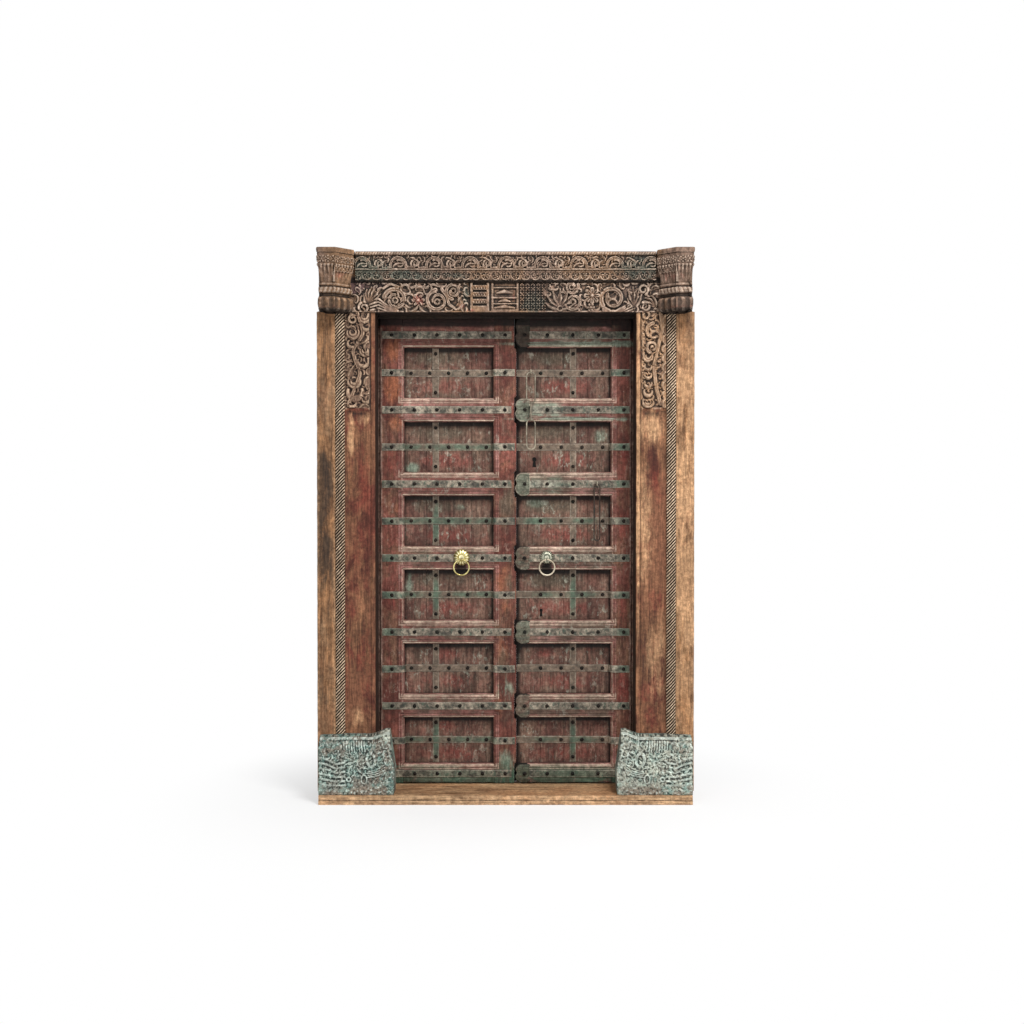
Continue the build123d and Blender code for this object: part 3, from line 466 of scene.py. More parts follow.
def make_ring_dark_patch():
    """A round dark patch on a leaf, centred inside where a ring hangs; its centre is in metres."""
    made, tree, given, out = new_group("Ring dark patch", [("Centre", ARROW, (0, 0, 0)), ("Reach", NUMBER, 0.03)],
                                       [("Share", NUMBER)])
    away = tree.nodes.new("ShaderNodeVectorMath")
    away.operation = "DISTANCE"
    tree.put(away.inputs[0], tree.coords((1, 1, 1)))
    tree.put(away.inputs[1], given["Centre"])
    ratio = tree.math("DIVIDE", away.outputs["Value"], given["Reach"])
    tree.put(out["Share"], tree.math("SUBTRACT", 1.0, tree.step(ratio, 0.7, 1.25)))
    return made


long_grain, flaked_paint, wear_dirt_and_painted_light = make_long_grain(), make_flaked_paint(), make_wear_dirt_and_painted_light()
mottled, torn_patch, second_tone = make_mottled(), make_torn_patch(), make_second_tone()
ring_dark_patch = make_ring_dark_patch()
UPRIGHT, LEVEL = (9.0, 9.0, 0.8), (0.8, 9.0, 9.0)
print("groups", [g.name for g in bpy.data.node_groups])


# %% [markdown]
# ## Finishes: wood
#
# The posts are bare orange-brown hardwood. The carved frieze is darker and greyer, pale on its crests and
# almost black in its hollows. The jambs keep some red paint. A wood finish is therefore one recipe with other
# colours: grain, then what is left of the paint, then dirt and painted shade, then worn arrises and painted
# highlights.

# %% Wood finishes
def wood_finish(name, dark, light, direction, paint=None, cover=0.4, flake=7.0, worn="#C9B8A8",
                dirt="#1A120E", wear=0.8, dirt_and_shade_strength=1.0, rough=0.72, stains=(), second=None,
                ring_centres=(), flecks=()):
    material, tree_nodes, _ = new_material(name)
    tree = Tree(material.node_tree)
    shader = tree_nodes["Principled BSDF"]
    grain = tree.group(long_grain, direction=direction, dark=colour(dark), light=colour(light))
    base, height = grain["Colour"], grain["Height"]
    if second:
        base = tree.mix(tree.group(second_tone, scale=3.4)["Share"], base, colour(second))
    if paint:
        flakes = tree.group(flaked_paint, scale=flake, cover=cover, softness=0.07)
        coat = tree.mix(tree.group(second_tone, scale=6.0)["Share"], colour(paint[0]), colour(paint[1]))
        share = tree.times(flakes["Paint"], 0.85)
        base = tree.mix(share, base, coat)
        height = tree.plus(tree.times(height, 0.6), tree.times(flakes["Height"], 0.25))
    torn = tuple(1.0 if d > 2 else 0.35 for d in direction)
    for mark, tint, strength in stains:
        share = tree.group(torn_patch, mark=tree.mark(mark), stretch=torn)["Share"]
        base = tree.mix(tree.times(share, strength), base, colour(tint))
    for tint, scale, cover, strength in flecks:
        chips = tree.group(flaked_paint, scale=scale, cover=cover, softness=0.04)["Paint"]
        where = tree.plus(tree.times(tree.group(second_tone, scale=scale * 0.16)["Share"], 0.8), 0.2)
        base = tree.mix(tree.times(tree.times(chips, where), strength), base, colour(tint))
    # The dark colour `dirt` goes on dirt and on painted shade; the pale `worn` on wear and on painted
    # highlights.
    marks = tree.group(wear_dirt_and_painted_light, wear=wear, dirt=dirt_and_shade_strength, scale=45.0)
    base = tree.mix(tree.times(marks["Dirty and shaded"], 0.92), base, colour(dirt))
    base = tree.mix(tree.times(marks["Worn and lit"], 0.72), base, colour(worn))
    base = tree.mix(0.8, base, tree.group(mottled, direction=direction)["Colour"], "MULTIPLY")
    for x, z in ring_centres:
        share = tree.group(ring_dark_patch, centre=(x, 0.1025, z), reach=0.03)["Share"]
        base = tree.mix(tree.times(share, 0.88), base, colour(dirt))
    tree.put(shader.inputs["Base Color"], base)
    tree.put(shader.inputs["Roughness"], tree.plus(tree.times(height, 0.2), rough - 0.1))
    shader.inputs["Specular IOR Level"].default_value = 0.25
    tree.put(shader.inputs["Normal"], tree.bump(height, 0.0016, 0.7))
    return material


# Two stains: a paler, warmer wood colour, strongest on the right post and the right jamb, and darker grey
# patches.
TONES = (("sun", "#D0A57C", 0.7), ("soot", "#2E2722", 0.8))
post_wood = wood_finish("post_wood", "#402616", "#B4855C", UPRIGHT, worn="#B99572", wear=0.5,
                        second="#7E5A40", stains=TONES)
board_wood = wood_finish("board_wood", "#7A5538", "#CBA67E", LEVEL, worn="#D8B690",
                         wear=0.5, second="#A87E5A")
# Its near-black dark colour also gives the painted shade of the soffit and of the dark strips under the
# lintel.
carved_wood = wood_finish("carved_wood", "#5E4A3C", "#92796A", (5, 5, 3), worn="#C2AE9C", wear=0.9,
                          dirt_and_shade_strength=1.1, dirt="#0B0806", second="#86684E",
                          stains=(("green", "#4C5A52", 0.8), ("red", "#B4665A", 0.75),
                                  ("mauve", "#5A444A", 0.75)))
jamb_wood = wood_finish("jamb_wood", "#4A2E21", "#9C6F50", UPRIGHT, paint=("#4A211B", "#7A3E32"), cover=0.46,
                        flake=9.0, worn="#BFA58C", wear=0.8, second="#7C523C",
                        stains=(("red", "#7E3A2E", 0.6), ("brown", "#7A6352", 0.85)) + TONES)
plinth_wood = wood_finish("plinth_wood", "#5D554D", "#8E8275", (4, 4, 4), paint=("#56807A", "#9DBAB0"),
                          cover=0.5, flake=30.0, worn="#C6D2CA", wear=0.8, dirt_and_shade_strength=0.9, dirt="#252B29",
                          second="#7C8078", stains=(("pale", "#CCD2C2", 0.8), ("bare", "#87796B", 0.85)))
print("wood finishes made")


# %% [markdown]
# ## Carving tools
#
# Carving is drawn on a height map, as a carver draws on a board: a stroke is a line of round dabs that keep
# the highest value, and a cut is taken away afterwards. Stems get a cut along their middle, which gives the
# double line that the light picks out. Spirals, ring eyes, flowers, comma leaves, fans and shells are all
# made of strokes, and small leaves fill what is left, because the old carver left no bare ground.

# %% Carving tools
class Carving:
    def __init__(self, xs, zs, fullness=1.0):
        self.xs, self.zs = np.asarray(xs, float), np.asarray(zs, float)
        self.relief = np.zeros((len(zs), len(xs)))
        self.removed = np.zeros_like(self.relief)
        self.fullness = fullness

    def dab(self, layer, x, z, radius, height):
        i0, i1 = np.searchsorted(self.xs, (x - radius, x + radius))
        j0, j1 = np.searchsorted(self.zs, (z - radius, z + radius))
        if i0 == i1 or j0 == j1:
            return
        d2 = (self.xs[None, i0:i1] - x) ** 2 + (self.zs[j0:j1, None] - z) ** 2
        dome = np.sqrt(np.clip(1 - d2 / radius ** 2, 0, 1)) * height
        part = layer[j0:j1, i0:i1]
        np.maximum(part, dome, out=part)

    def stroke(self, points, width, height, groove=0.0):
        """A line of dabs; width and height are a value, or a pair for start and end."""
        points = np.asarray(points, float)
        runs = np.hypot(*np.diff(points, axis=0).T)
        along = np.concatenate([[0], np.cumsum(runs)])
        w0, w1 = np.multiply(width if isinstance(width, tuple) else (width, width), self.fullness)
        h0, h1 = height if isinstance(height, tuple) else (height, height)
        count = max(3, int(along[-1] / (min(w0, w1) * 0.22 + 0.35)))
        for s in np.linspace(0, 1, count):
            x = np.interp(s * along[-1], along, points[:, 0])
            z = np.interp(s * along[-1], along, points[:, 1])
            w, h = w0 + (w1 - w0) * s, h0 + (h1 - h0) * s
            self.dab(self.relief, x, z, w / 2, h)
            if groove:
                self.dab(self.removed, x, z, w * 0.17, h * groove)

    def cut(self, points, width, depth):
        points = np.asarray(points, float)
        length = np.hypot(*np.diff(points, axis=0).T).sum()
        for s in np.linspace(0, len(points) - 1, max(3, int(length / (width * 0.25)))):
            i = min(int(s), len(points) - 2)
            x, z = points[i] + (points[i + 1] - points[i]) * (s - i)
            self.dab(self.removed, x, z, width / 2, depth)

    def spiral(self, x, z, outer, inner, start, turns, width, height, groove=0.45):
        a = np.linspace(0, 1, 40)
        angle = math.radians(start) + turns * math.tau * a
        r = outer + (inner - outer) * a
        self.stroke(ring(x, z, r, r, angle), (width, width * 0.6), height, groove)

    def eye(self, x, z, radius, height):
        line = ring(x, z, radius * 0.68, radius * 0.68, np.linspace(0, math.tau, 30))
        self.stroke(line, radius * 0.62 / self.fullness, height, 0.4)
        self.dab(self.removed, x, z, radius * 0.34, height)
        self.dab(self.relief, x, z, radius * 0.24, height * 1.5)

    def flower(self, x, z, radius, petals, height, turn=0.0):
        for k in range(petals):
            a = math.tau * (k + turn) / petals
            c, s = math.cos(a), math.sin(a)
            inner, outer = [(x + c * radius * share, z + s * radius * share) for share in (0.34, 0.8)]
            self.stroke([inner, outer], (radius * 0.3, radius * 0.5), (height * 0.8, height))
            self.cut([inner, outer], radius * 0.12, height * 0.5)
        self.dab(self.relief, x, z, radius * 0.26, height * 1.15)

    def comma(self, x, z, heading, length, bend, width, height, scoop=0.55):
        """A leaf lobe that bends as it runs out, hollowed along its inner side."""
        steps = np.linspace(0, 1, 14)
        angle = math.radians(heading) + math.radians(bend) * steps
        px = x + np.concatenate([[0], np.cumsum(np.cos(angle))[:-1]]) * length / 14
        pz = z + np.concatenate([[0], np.cumsum(np.sin(angle))[:-1]]) * length / 14
        for s, cx, cz, a in zip(steps, px, pz, angle):
            w = self.fullness * width * (0.35 + 0.65 * math.sin(math.pi * min(1, 0.25 + s * 0.85)))
            self.dab(self.relief, cx, cz, w / 2, height * (0.7 + 0.3 * s))
            side = math.copysign(w * 0.17, bend)
            self.dab(self.removed, cx - side * math.sin(a), cz + side * math.cos(a),
                     w * 0.27, height * scoop)

    def fan(self, x, z, heading, spread, leaves, length, width, height):
        for k in range(leaves):
            turn = (k / (leaves - 1) - 0.5) * spread
            reach = length * (1 - 0.25 * abs(turn) / spread)
            self.comma(x, z, heading + turn * 0.7, reach, turn * 0.8 + 6, width, height)

    def shell(self, x, z, radius, heading, folds, height):
        """Nested crescents, open towards the heading."""
        for k in range(folds):
            r = radius * (0.8 - k / folds * 0.75)
            a = np.radians(np.linspace(heading + 72, heading + 288, 26))
            line = ring(x, z, r, r, a)
            wide = radius * (0.62 if folds == 1 else 0.46)
            self.stroke(line[:14], (wide * 0.45, wide), (height * 0.7, height))
            self.stroke(line[13:], (wide, wide * 0.45), (height, height * 0.7))

    def bar(self, x0, x1, z0, z1, height, layer=None):
        layer = self.relief if layer is None else layer
        i0, i1 = np.searchsorted(self.xs, (x0, x1))
        j0, j1 = np.searchsorted(self.zs, (z0, z1))
        part = layer[j0:j1, i0:i1]
        np.maximum(part, height, out=part)

    def fill(self, x0, x1, z0, z1, pitch, length, height, seed):
        """Small leaves wherever the ground is still bare."""
        rng = np.random.default_rng(seed)
        for x in np.arange(x0 + pitch / 2, x1, pitch):
            for z in np.arange(z0 + pitch / 2, z1, pitch):
                px, pz = x + rng.uniform(-0.3, 0.3) * pitch, z + rng.uniform(-0.3, 0.3) * pitch
                i = min(np.searchsorted(self.xs, px), len(self.xs) - 1)
                j = min(np.searchsorted(self.zs, pz), len(self.zs) - 1)
                heading, bend = rng.uniform(0, 360), rng.choice([-110, 110])
                if self.relief[j, i] < height * 0.35:
                    self.comma(px, pz, heading, length * rng.uniform(0.7, 1.1), bend, length * 0.46, height)

    def result(self):
        depth = np.clip(self.relief - self.removed, -2.5, None)
        tool = ripple(self.xs[None, :] / 7, self.zs[:, None] / 7, 5) * 0.35
        return depth + tool


def relief_marks(height, near=2, far=7):
    """Crests and hollows of a height map, from how far each point stands off its surroundings."""
    fine, wide = height - blur(height, near), height - blur(height, far)
    return {"edge": np.clip(fine / 2.4 + wide / 11, 0, 1),
            "cavity": np.clip(-fine / 3.4 - wide / 7.5 - 0.02, 0, 1)}


def slab(x, z, front_y, back_y):
    """Points and faces of a closed board whose front is a grid; x, z and front_y are the grid's arrays."""
    rows, columns = front_y.shape
    front = np.stack([x, front_y, z], -1).reshape(-1, 3)
    index = np.arange(rows * columns).reshape(rows, columns)
    rim = np.concatenate([index[0, :], index[1:, -1], index[-1, -2::-1], index[-2:0:-1, 0]])
    back = front[rim].copy()
    back[:, 1] = back_y
    centre = back.mean(axis=0, keepdims=True)
    points = np.concatenate([front, back, centre])
    n, m = len(front), len(rim)
    here, there = np.arange(m), (np.arange(m) + 1) % m
    sides = np.stack([rim[here], n + here, n + there, rim[there]], -1)
    fan = np.stack([n + here, np.full(m, n + m), n + there], -1)
    return points, [grid_faces(rows, columns), sides, fan], m + 1


def with_back(front, extra, back=0.0):
    """A mark for a slab: the values of its front, then one value for its rim and back."""
    return np.append(front, np.full(extra, back))


def slab_marks(height, extra):
    return {k: with_back(v, extra, 0.15) for k, v in relief_marks(height).items()}


def blobs(x, z, spots):
    """A mark made of soft ovals: each is x, z, half width, half height, strength."""
    total = np.zeros(np.broadcast(x, z).shape)
    for cx, cz, rx, rz, strength in spots:
        total = np.maximum(total, strength * np.exp(-(((x - cx) / rx) ** 2 + ((z - cz) / rz) ** 2)))
    return total


# %% [markdown]
# ## The lintel and its frieze
#
# The frieze is cut into the face of the lintel beam. On the left, a fan of leaves and a big scroll lead to a
# small painted flower and two more scrolls; in the middle stand a ladder of beaded steps, a niche with three
# low roofs and a lattice; a palmette, a star flower and another big scroll answer on the right. Places were
# read off the picture in its own dots, and `spot` turns them into millimetres.

# %% Lintel
def spot(across, down, scale=3.956):
    return (across - 505.7) * scale, 1224 + (491 - down) * scale


def line_of(*places):
    """A smooth line through the given places."""
    p = np.array([spot(*q) for q in places])
    t, fine = np.arange(len(p)), np.linspace(0, len(p) - 1, 12 * len(p))
    rough = np.stack([np.interp(fine, t, p[:, k]) for k in (0, 1)], 1)
    for _ in range(6):
        rough[1:-1] = (rough[:-2] + 2 * rough[1:-1] + rough[2:]) / 4
    return rough


def carve_frieze(c):
    tall = 12.5
    c.spiral(*spot(364.4, 308.5), 23, 9, 90, 1.2, 11, tall, 0.2)
    leaves = ((8, 40), (30, 66), (48, 84), (66, 84), (86, 72), (108, 60), (130, 44))
    for k, (heading, length) in enumerate(leaves):
        c.comma(*spot(368, 304.5), heading, length, 26 - 12 * k, 17, tall)
    for k in range(4):
        c.stroke(line_of((371, 302 + k * 3), (379, 299.5 + k * 3.1), (387, 306 + k * 1.9), (398, 311.5 + k)),
                 (7, 10), 10)
    c.spiral(*spot(395.7, 300.5), 45, 20, 165, -1.2, 16, tall, 0.35)
    c.eye(*spot(395.7, 301), 15, tall)
    for k in range(7):
        x, z = spot(395.7, 301)
        a = math.radians(51 * k)
        ends = ((20, a), (35, a + 0.4))
        c.stroke([(x + r * math.cos(t), z + r * math.sin(t)) for r, t in ends], (7, 9), 9)
    c.flower(*spot(418.4, 301), 25, 6, tall)
    for q, heading, bend in (((409, 305), 120, 120), ((409, 293), 200, -110), ((427, 294), 20, 110),
                             ((427, 308), 330, -120), ((411, 311), 20, 40), ((426, 312), 150, -40)):
        c.comma(*spot(*q), heading, 44, bend, 19, tall)
    wave = ((384, 289), (391, 284.5), (399, 288), (406, 285), (412, 289), (419, 285.5), (426, 289),
            (433, 285), (443, 288))
    c.stroke(line_of(*wave), 9, 10, 0.3)
    c.spiral(*spot(437.5, 301.5), 43, 17, 100, 1.25, 15, tall, 0.35)
    c.eye(*spot(437.5, 302.5), 14, tall)
    c.spiral(*spot(453.5, 292), 31, 15, -100, -1.2, 13, tall, 0.35)
    c.eye(*spot(453.5, 291.7), 14, tall)
    c.stroke(line_of((442, 290), (447, 297), (449, 305), (456, 310)), (12, 9), tall, 0.3)
    for q, heading, bend in (((462, 298), 230, 130), ((466, 305), 200, 130), ((457, 309), 30, 90),
                             ((466, 290), 250, 120), ((445, 286), 200, -90), ((429, 300), 70, -60)):
        c.comma(*spot(*q), heading, 42, bend, 19, tall)
    x0, x1 = spot(470.5, 0)[0], spot(489, 0)[0]
    c.bar(x0, x1, 1932, 2049, 7.0)
    for down in (284.8, 291.6, 298.4, 305.4):
        z = spot(0, down)[1]
        c.bar(x0 + 9, x1 - 9, z - 5, z + 5, 6.5, c.removed)
        for step in np.arange(x0 + 13, x1 - 10, 10.5):
            c.dab(c.relief, step, z + 10, 5.0, 11.5)
            c.dab(c.relief, step + 5, z + 19, 4.6, 11.0)
            c.dab(c.removed, step + 5, z + 10, 3.0, 4.0)
    a, b = spot(490.5, 0)[0], spot(519, 0)[0]
    for down, wide in ((282.5, 7), (288.5, 5), (298.5, 6), (304.5, 5), (311, 7)):
        z = spot(0, down)[1]
        c.stroke([(a + 6, z), (b - 6, z)], wide, 7.5)
    for down, reach in ((293, 30), (301.5, 22), (308, 40)):
        x, z = spot(504.5, down)
        c.stroke([(x - reach, z - 3), (x, z + 3)], (5, 13), (5, 9))
        c.stroke([(x, z + 3), (x + reach, z - 3)], (13, 5), (9, 5))
    for across in (492.5, 517.5):
        c.stroke([spot(across, 283), spot(across, 311)], 7, 7.0, 0.3)
        for down in np.arange(286, 310, 3.2):
            c.dab(c.relief, *spot(across, down), 5, 8.5)
    for across in np.arange(522, 545, 5.4):
        for down in np.arange(284.5, 312, 5.2):
            c.flower(*spot(across, down), 9.5, 4, 7.5, 0.5)
    for k in range(7):
        turn = 90 + 27 * (k - 3)
        c.comma(*spot(560, 309.5), turn, 84 - 5 * abs(k - 3), 9 * (3 - k), 19, tall)
    c.eye(*spot(560, 309), 14, tall)
    c.spiral(*spot(573, 302.5), 33, 16, 200, 1.1, 13, tall, 0.35)
    c.eye(*spot(572.7, 302.5), 14, tall)
    c.spiral(*spot(571.4, 288), 27, 14, 20, -1.0, 12, tall, 0.35)
    c.eye(*spot(571.4, 288), 13, tall)
    c.flower(*spot(591.8, 296.5), 31, 8, tall + 1)
    c.flower(*spot(590.6, 308.3), 16, 6, tall)
    c.spiral(*spot(612.2, 299.5), 47, 22, 215, -1.15, 17, tall, 0.35)
    c.comma(*spot(609, 304.5), 75, 46, -170, 23, tall)
    c.comma(*spot(615.5, 295.5), 255, 46, -170, 23, tall)
    c.spiral(*spot(642.9, 290.4), 21, 8, 300, 1.2, 10, tall, 0.2)
    for k, (heading, length) in enumerate(((50, 60), (72, 80), (94, 84), (116, 66), (140, 46))):
        c.comma(*spot(634, 308), heading, length, 24 - 12 * k, 17, tall)
    for heading, length in ((95, 44), (125, 52), (155, 50)):
        c.comma(*spot(655, 306), heading, length, 40, 16, tall)
    c.spiral(*spot(645, 307.5), 19, 8, 120, -1.1, 10, tall, 0.2)
    for k in range(4):
        c.stroke(line_of((603, 308 + k * 1.6), (613, 313 - k * 0.5), (623, 308 + k * 1.9),
                         (632, 301 + k * 3)), (10, 7), 10)
    c.fill(-600, -145, 1934, 2050, 24, 36, 9.5, 3)
    c.fill(165, 600, 1934, 2050, 24, 36, 9.5, 4)
    c.bar(-600, 600, 1928, 1934, 6.0)


xs = np.concatenate([np.arange(-672, -600, 12), np.arange(-600, 600.1, 1.9), np.arange(612, 673, 12)])
zs = np.concatenate([np.arange(LINTEL_FOOT, 2054, 1.8), np.arange(2058, 2161, 17), [2160]])
frieze = Carving(xs, zs, 1.32)
carve_frieze(frieze)
relief = np.minimum(frieze.result(), 14.5) * (zs[:, None] < 2050)
x_grid, z_grid = np.meshgrid(xs, zs)
points, faces, extra = slab(x_grid, z_grid, FRAME_FACE - relief, BACK)
marks = slab_marks(relief, extra)
# The soffit is painted shade: the front's bottom row is fully dark with no wear, and the back and rim a
# little dark.
marks["cavity"][-extra:] = 0.1
marks["cavity"][:len(xs)] = 1.0
marks["edge"][:len(xs)] = 0.0
# A painted shadow under the cornice: a dark band along the top of the frieze, with no wear in it.
shade = (np.clip((z_grid - 2042) / 4, 0, 1) * (z_grid < 2060)).ravel()
marks["cavity"][:x_grid.size] = np.maximum(marks["cavity"][:x_grid.size], shade)
marks["edge"][:x_grid.size] *= 1 - shade
lattice = ((x_grid > spot(469, 0)[0]) & (x_grid < spot(547, 0)[0])).ravel()
marks["edge"][:x_grid.size][lattice] *= 0.6
lintel_green = [(*spot(534, 304), 46, 34, 1.25), (*spot(533, 298), 44, 60, 0.7),
                (*spot(466, 296), 16, 50, 0.9), (*spot(524, 306), 24, 22, 0.7),
                (*spot(540, 305), 20, 30, 0.7), (*spot(480, 297), 40, 60, 0.45),
                (*spot(398, 285), 60, 16, 0.4)]
lintel_red = [(*spot(418.4, 301), 26, 26, 1.0), (*spot(514, 296), 8, 40, 0.6),
              (*spot(462, 307), 20, 14, 0.7), (*spot(470, 311), 30, 8, 0.6)]
lintel_mauve = [(*spot(358, 287), 50, 40, 1.1), (*spot(378, 285), 60, 26, 0.9),
                (*spot(400, 284), 60, 12, 0.6), (*spot(480, 297), 44, 70, 0.5),
                (*spot(505, 297), 60, 70, 0.5), (*spot(533, 290), 50, 40, 0.5)]
for mark, spots in (("green", lintel_green), ("red", lintel_red), ("mauve", lintel_mauve)):
    marks[mark] = with_back(blobs(x_grid, z_grid, spots), extra)
add_piece("carved_lintel", points, faces, "frame", carved_wood, ("lintel",), marks)

# %% [markdown]
# ## The cornice board
#
# A board across the top of the frieze: a roped bead, a running vine whose crests curl back to an eye, a
# fillet, and a row of hanging lappets with a small flower in each. It repeats evenly, so a loop makes it.

# %% Cornice
xs = np.arange(-591, 591.1, 2.0)
zs = np.linspace(2049, 2166, 72)
vine = Carving(xs, zs, 1.12)
for k in range(-5, 6):
    x = 3 + 142 * k
    a = np.radians(np.linspace(200, -10, 40))
    arch = ring(x, 2108, 31, 33, a)
    tail = [(x + 36, 2104), (x + 48, 2101), (x + 62, 2104)]
    vine.stroke(np.concatenate([arch, tail]), 11, 10.5, 0.45)
    vine.stroke([(x - 60, 2103), (x - 44, 2101), (x - 32, 2104)], 9, 9.5, 0.3)
    vine.spiral(x + 6, 2116, 17, 7, 120, -0.9, 10, 8.5, 0.0)
    vine.comma(x - 16, 2104, 50, 40, -70, 17, 9.0)
    vine.spiral(x + 68, 2118, 19, 8, 250, -1.1, 10, 10.0, 0.3)
    vine.eye(x + 68, 2119, 9, 9.5)
    vine.comma(x + 84, 2104, 100, 36, -90, 16, 9.5)
    vine.comma(x + 50, 2138, -10, 34, -50, 14, 9.0)
    vine.comma(x + 100, 2126, 70, 22, 60, 13, 9.0)
vine.fill(-591, 591, 2102, 2148, 16, 22, 7.5, 9)
ground = -46.5 - np.clip(vine.result(), -2.0, 10.8)
x_grid, z_grid = np.meshgrid(xs, zs)
rope = np.abs(np.sin(math.pi * (x_grid - 0.5 * (z_grid - 2158)) / 10.5)) ** 0.7
bead = -48 - 7.5 * np.sqrt(np.clip(1 - ((z_grid - 2158) / 7.4) ** 2, 0, 1)) * (0.72 + 0.28 * rope)
hang = Carving(xs, zs)
for k, x in enumerate(np.arange(-585, 600, 39)):
    a = np.radians(np.linspace(185, 355, 18))
    hang.stroke(ring(x, 2073, 17, 19, a), 6, 4.2)
    hang.eye(x + 19.5, 2083, 6.5, 5.5)
    hang.comma(x - 4, 2084, 160, 17, 50, 9, 5.5)
    hang.comma(x + 4, 2084, 20, 17, -50, 9, 5.5)
    hang.flower(x, 2071, 11, 5, 6.0, 0.25 * (k % 4))
    hang.comma(x + 19.5, 2074, 250, 17, 40, 8, 5.5)
    hang.comma(x + 19.5, 2074, 290, 17, -40, 8, 5.5)
sag = (x_grid + 585 + 19.5) % 39 - 19.5
foot = 2051 + 4 * (1 - np.sqrt(np.clip(1 - (sag / 20) ** 2, 0, 1)))
hang.fill(-591, 591, 2054, 2092, 11, 15, 4.5, 10)
lappets = -46 - 2.0 * np.clip((z_grid - foot) / 4, 0, 1) - np.clip(hang.result(), -1, 7)
fillet = -51.5 - 3.5 * np.exp(-((z_grid - 2095) / 2.4) ** 2)
front = np.where(z_grid > 2150, bead,
                 np.where(z_grid > 2098.5, ground, np.where(z_grid > 2091.5, fillet, lappets)))
front = front + 0.8 * ripple(x_grid / 9, z_grid / 9, 21)
front = np.maximum(front, -57.5)
points, faces, extra = slab(x_grid, z_grid, front, FRAME_FACE)
marks = slab_marks(-front, extra)
cornice_green = [(-560, 2090, 130, 70, 1.0), (-380, 2072, 150, 28, 0.9), (-200, 2072, 110, 22, 0.6),
                 (520, 2105, 120, 70, 0.8)]
marks["green"] = with_back(blobs(x_grid, z_grid, cornice_green), extra)
calmer = np.where((z_grid < 2091) | (z_grid > 2150), 0.75, 0.88).ravel()
marks["edge"][:x_grid.size] *= calmer * (1 - 0.25 * np.clip(marks["green"][:x_grid.size], 0, 1))
# A painted shadow along the cornice's bottom rows.
marks["cavity"][:x_grid.size] = np.maximum(marks["cavity"][:x_grid.size],
                                           np.clip((2056 - z_grid) / 3, 0, 1).ravel())
add_piece("carved_cornice", points, faces, "frame", carved_wood, ("cornice_board",), marks)

# %% [markdown]
# ## The inner jambs
#
# Each jamb is one plank. Its top third is carved with a climbing stem between folded leaves; below, a
# shallow panel is worn and painted red, with a small bead along the doorway. Behind the leaf the plank is
# rebated, so light can't pass; that part is a second, plain block of the same wood.

# %% Jambs
def carve_left_jamb(c):
    c.stroke(line_of((358, 314), (364, 334), (353, 351), (356, 362), (361, 374), (350, 402)), 12, 11, 0.3)
    for across, down, r, turn, folds in ((365, 317.5, 26, 85, 2), (366.5, 326.5, 20, 70, 1),
                                         (353.5, 333, 29, 95, 2), (352, 344, 19, 60, 1),
                                         (365.5, 351, 25, 100, 2), (363.5, 361.5, 26, 95, 1),
                                         (354.5, 381.5, 30, 95, 2), (355.5, 392, 36, 90, 1),
                                         (366.5, 399, 19, 100, 1), (352.5, 403, 20, 80, 1)):
        c.shell(*spot(across, down), r, turn, folds, 12)
    c.spiral(*spot(353.5, 320), 19, 7, 60, 1.2, 10, 12, 0.2)
    for q, heading, length, bend in (((350, 378), 80, 58, -30), ((368, 344), 230, 34, 60),
                                     ((368, 379), 240, 44, 60), ((367, 338), 250, 30, -40),
                                     ((351, 312), 300, 34, 60), ((362, 408), 60, 30, -90)):
        c.comma(*spot(*q), heading, length, bend, 19, 11)


def carve_right_jamb(c):
    stem = line_of((660, 312), (662, 330), (658, 346), (653.5, 366), (655.5, 386), (660, 404))
    c.stroke(stem, 12, 11, 0.3)
    c.spiral(*spot(645, 316), 21, 8, 200, -1.2, 10, 12, 0.2)
    c.spiral(*spot(653.7, 332), 32, 15, 100, 0.95, 13, 12, 0.3)
    c.comma(*spot(651.8, 336), 75, 40, -170, 22, 12)
    c.comma(*spot(656, 328), 255, 40, -170, 22, 12)
    c.spiral(*spot(651.8, 347.5), 23, 12, 250, -0.95, 12, 12, 0.2)
    c.dab(c.relief, *spot(651.8, 347.5), 9, 11)
    for down, r in ((357, 22), (367, 17), (375, 17), (383.5, 18), (392, 20), (402, 25)):
        c.shell(*spot(647.8, down), r, 80, 1 if r < 21 else 2, 12)
    for down in (317, 326, 336, 346, 355, 364, 373, 382, 391, 400, 408):
        c.comma(*spot(667, down), 205, 42, 100, 20, 12)


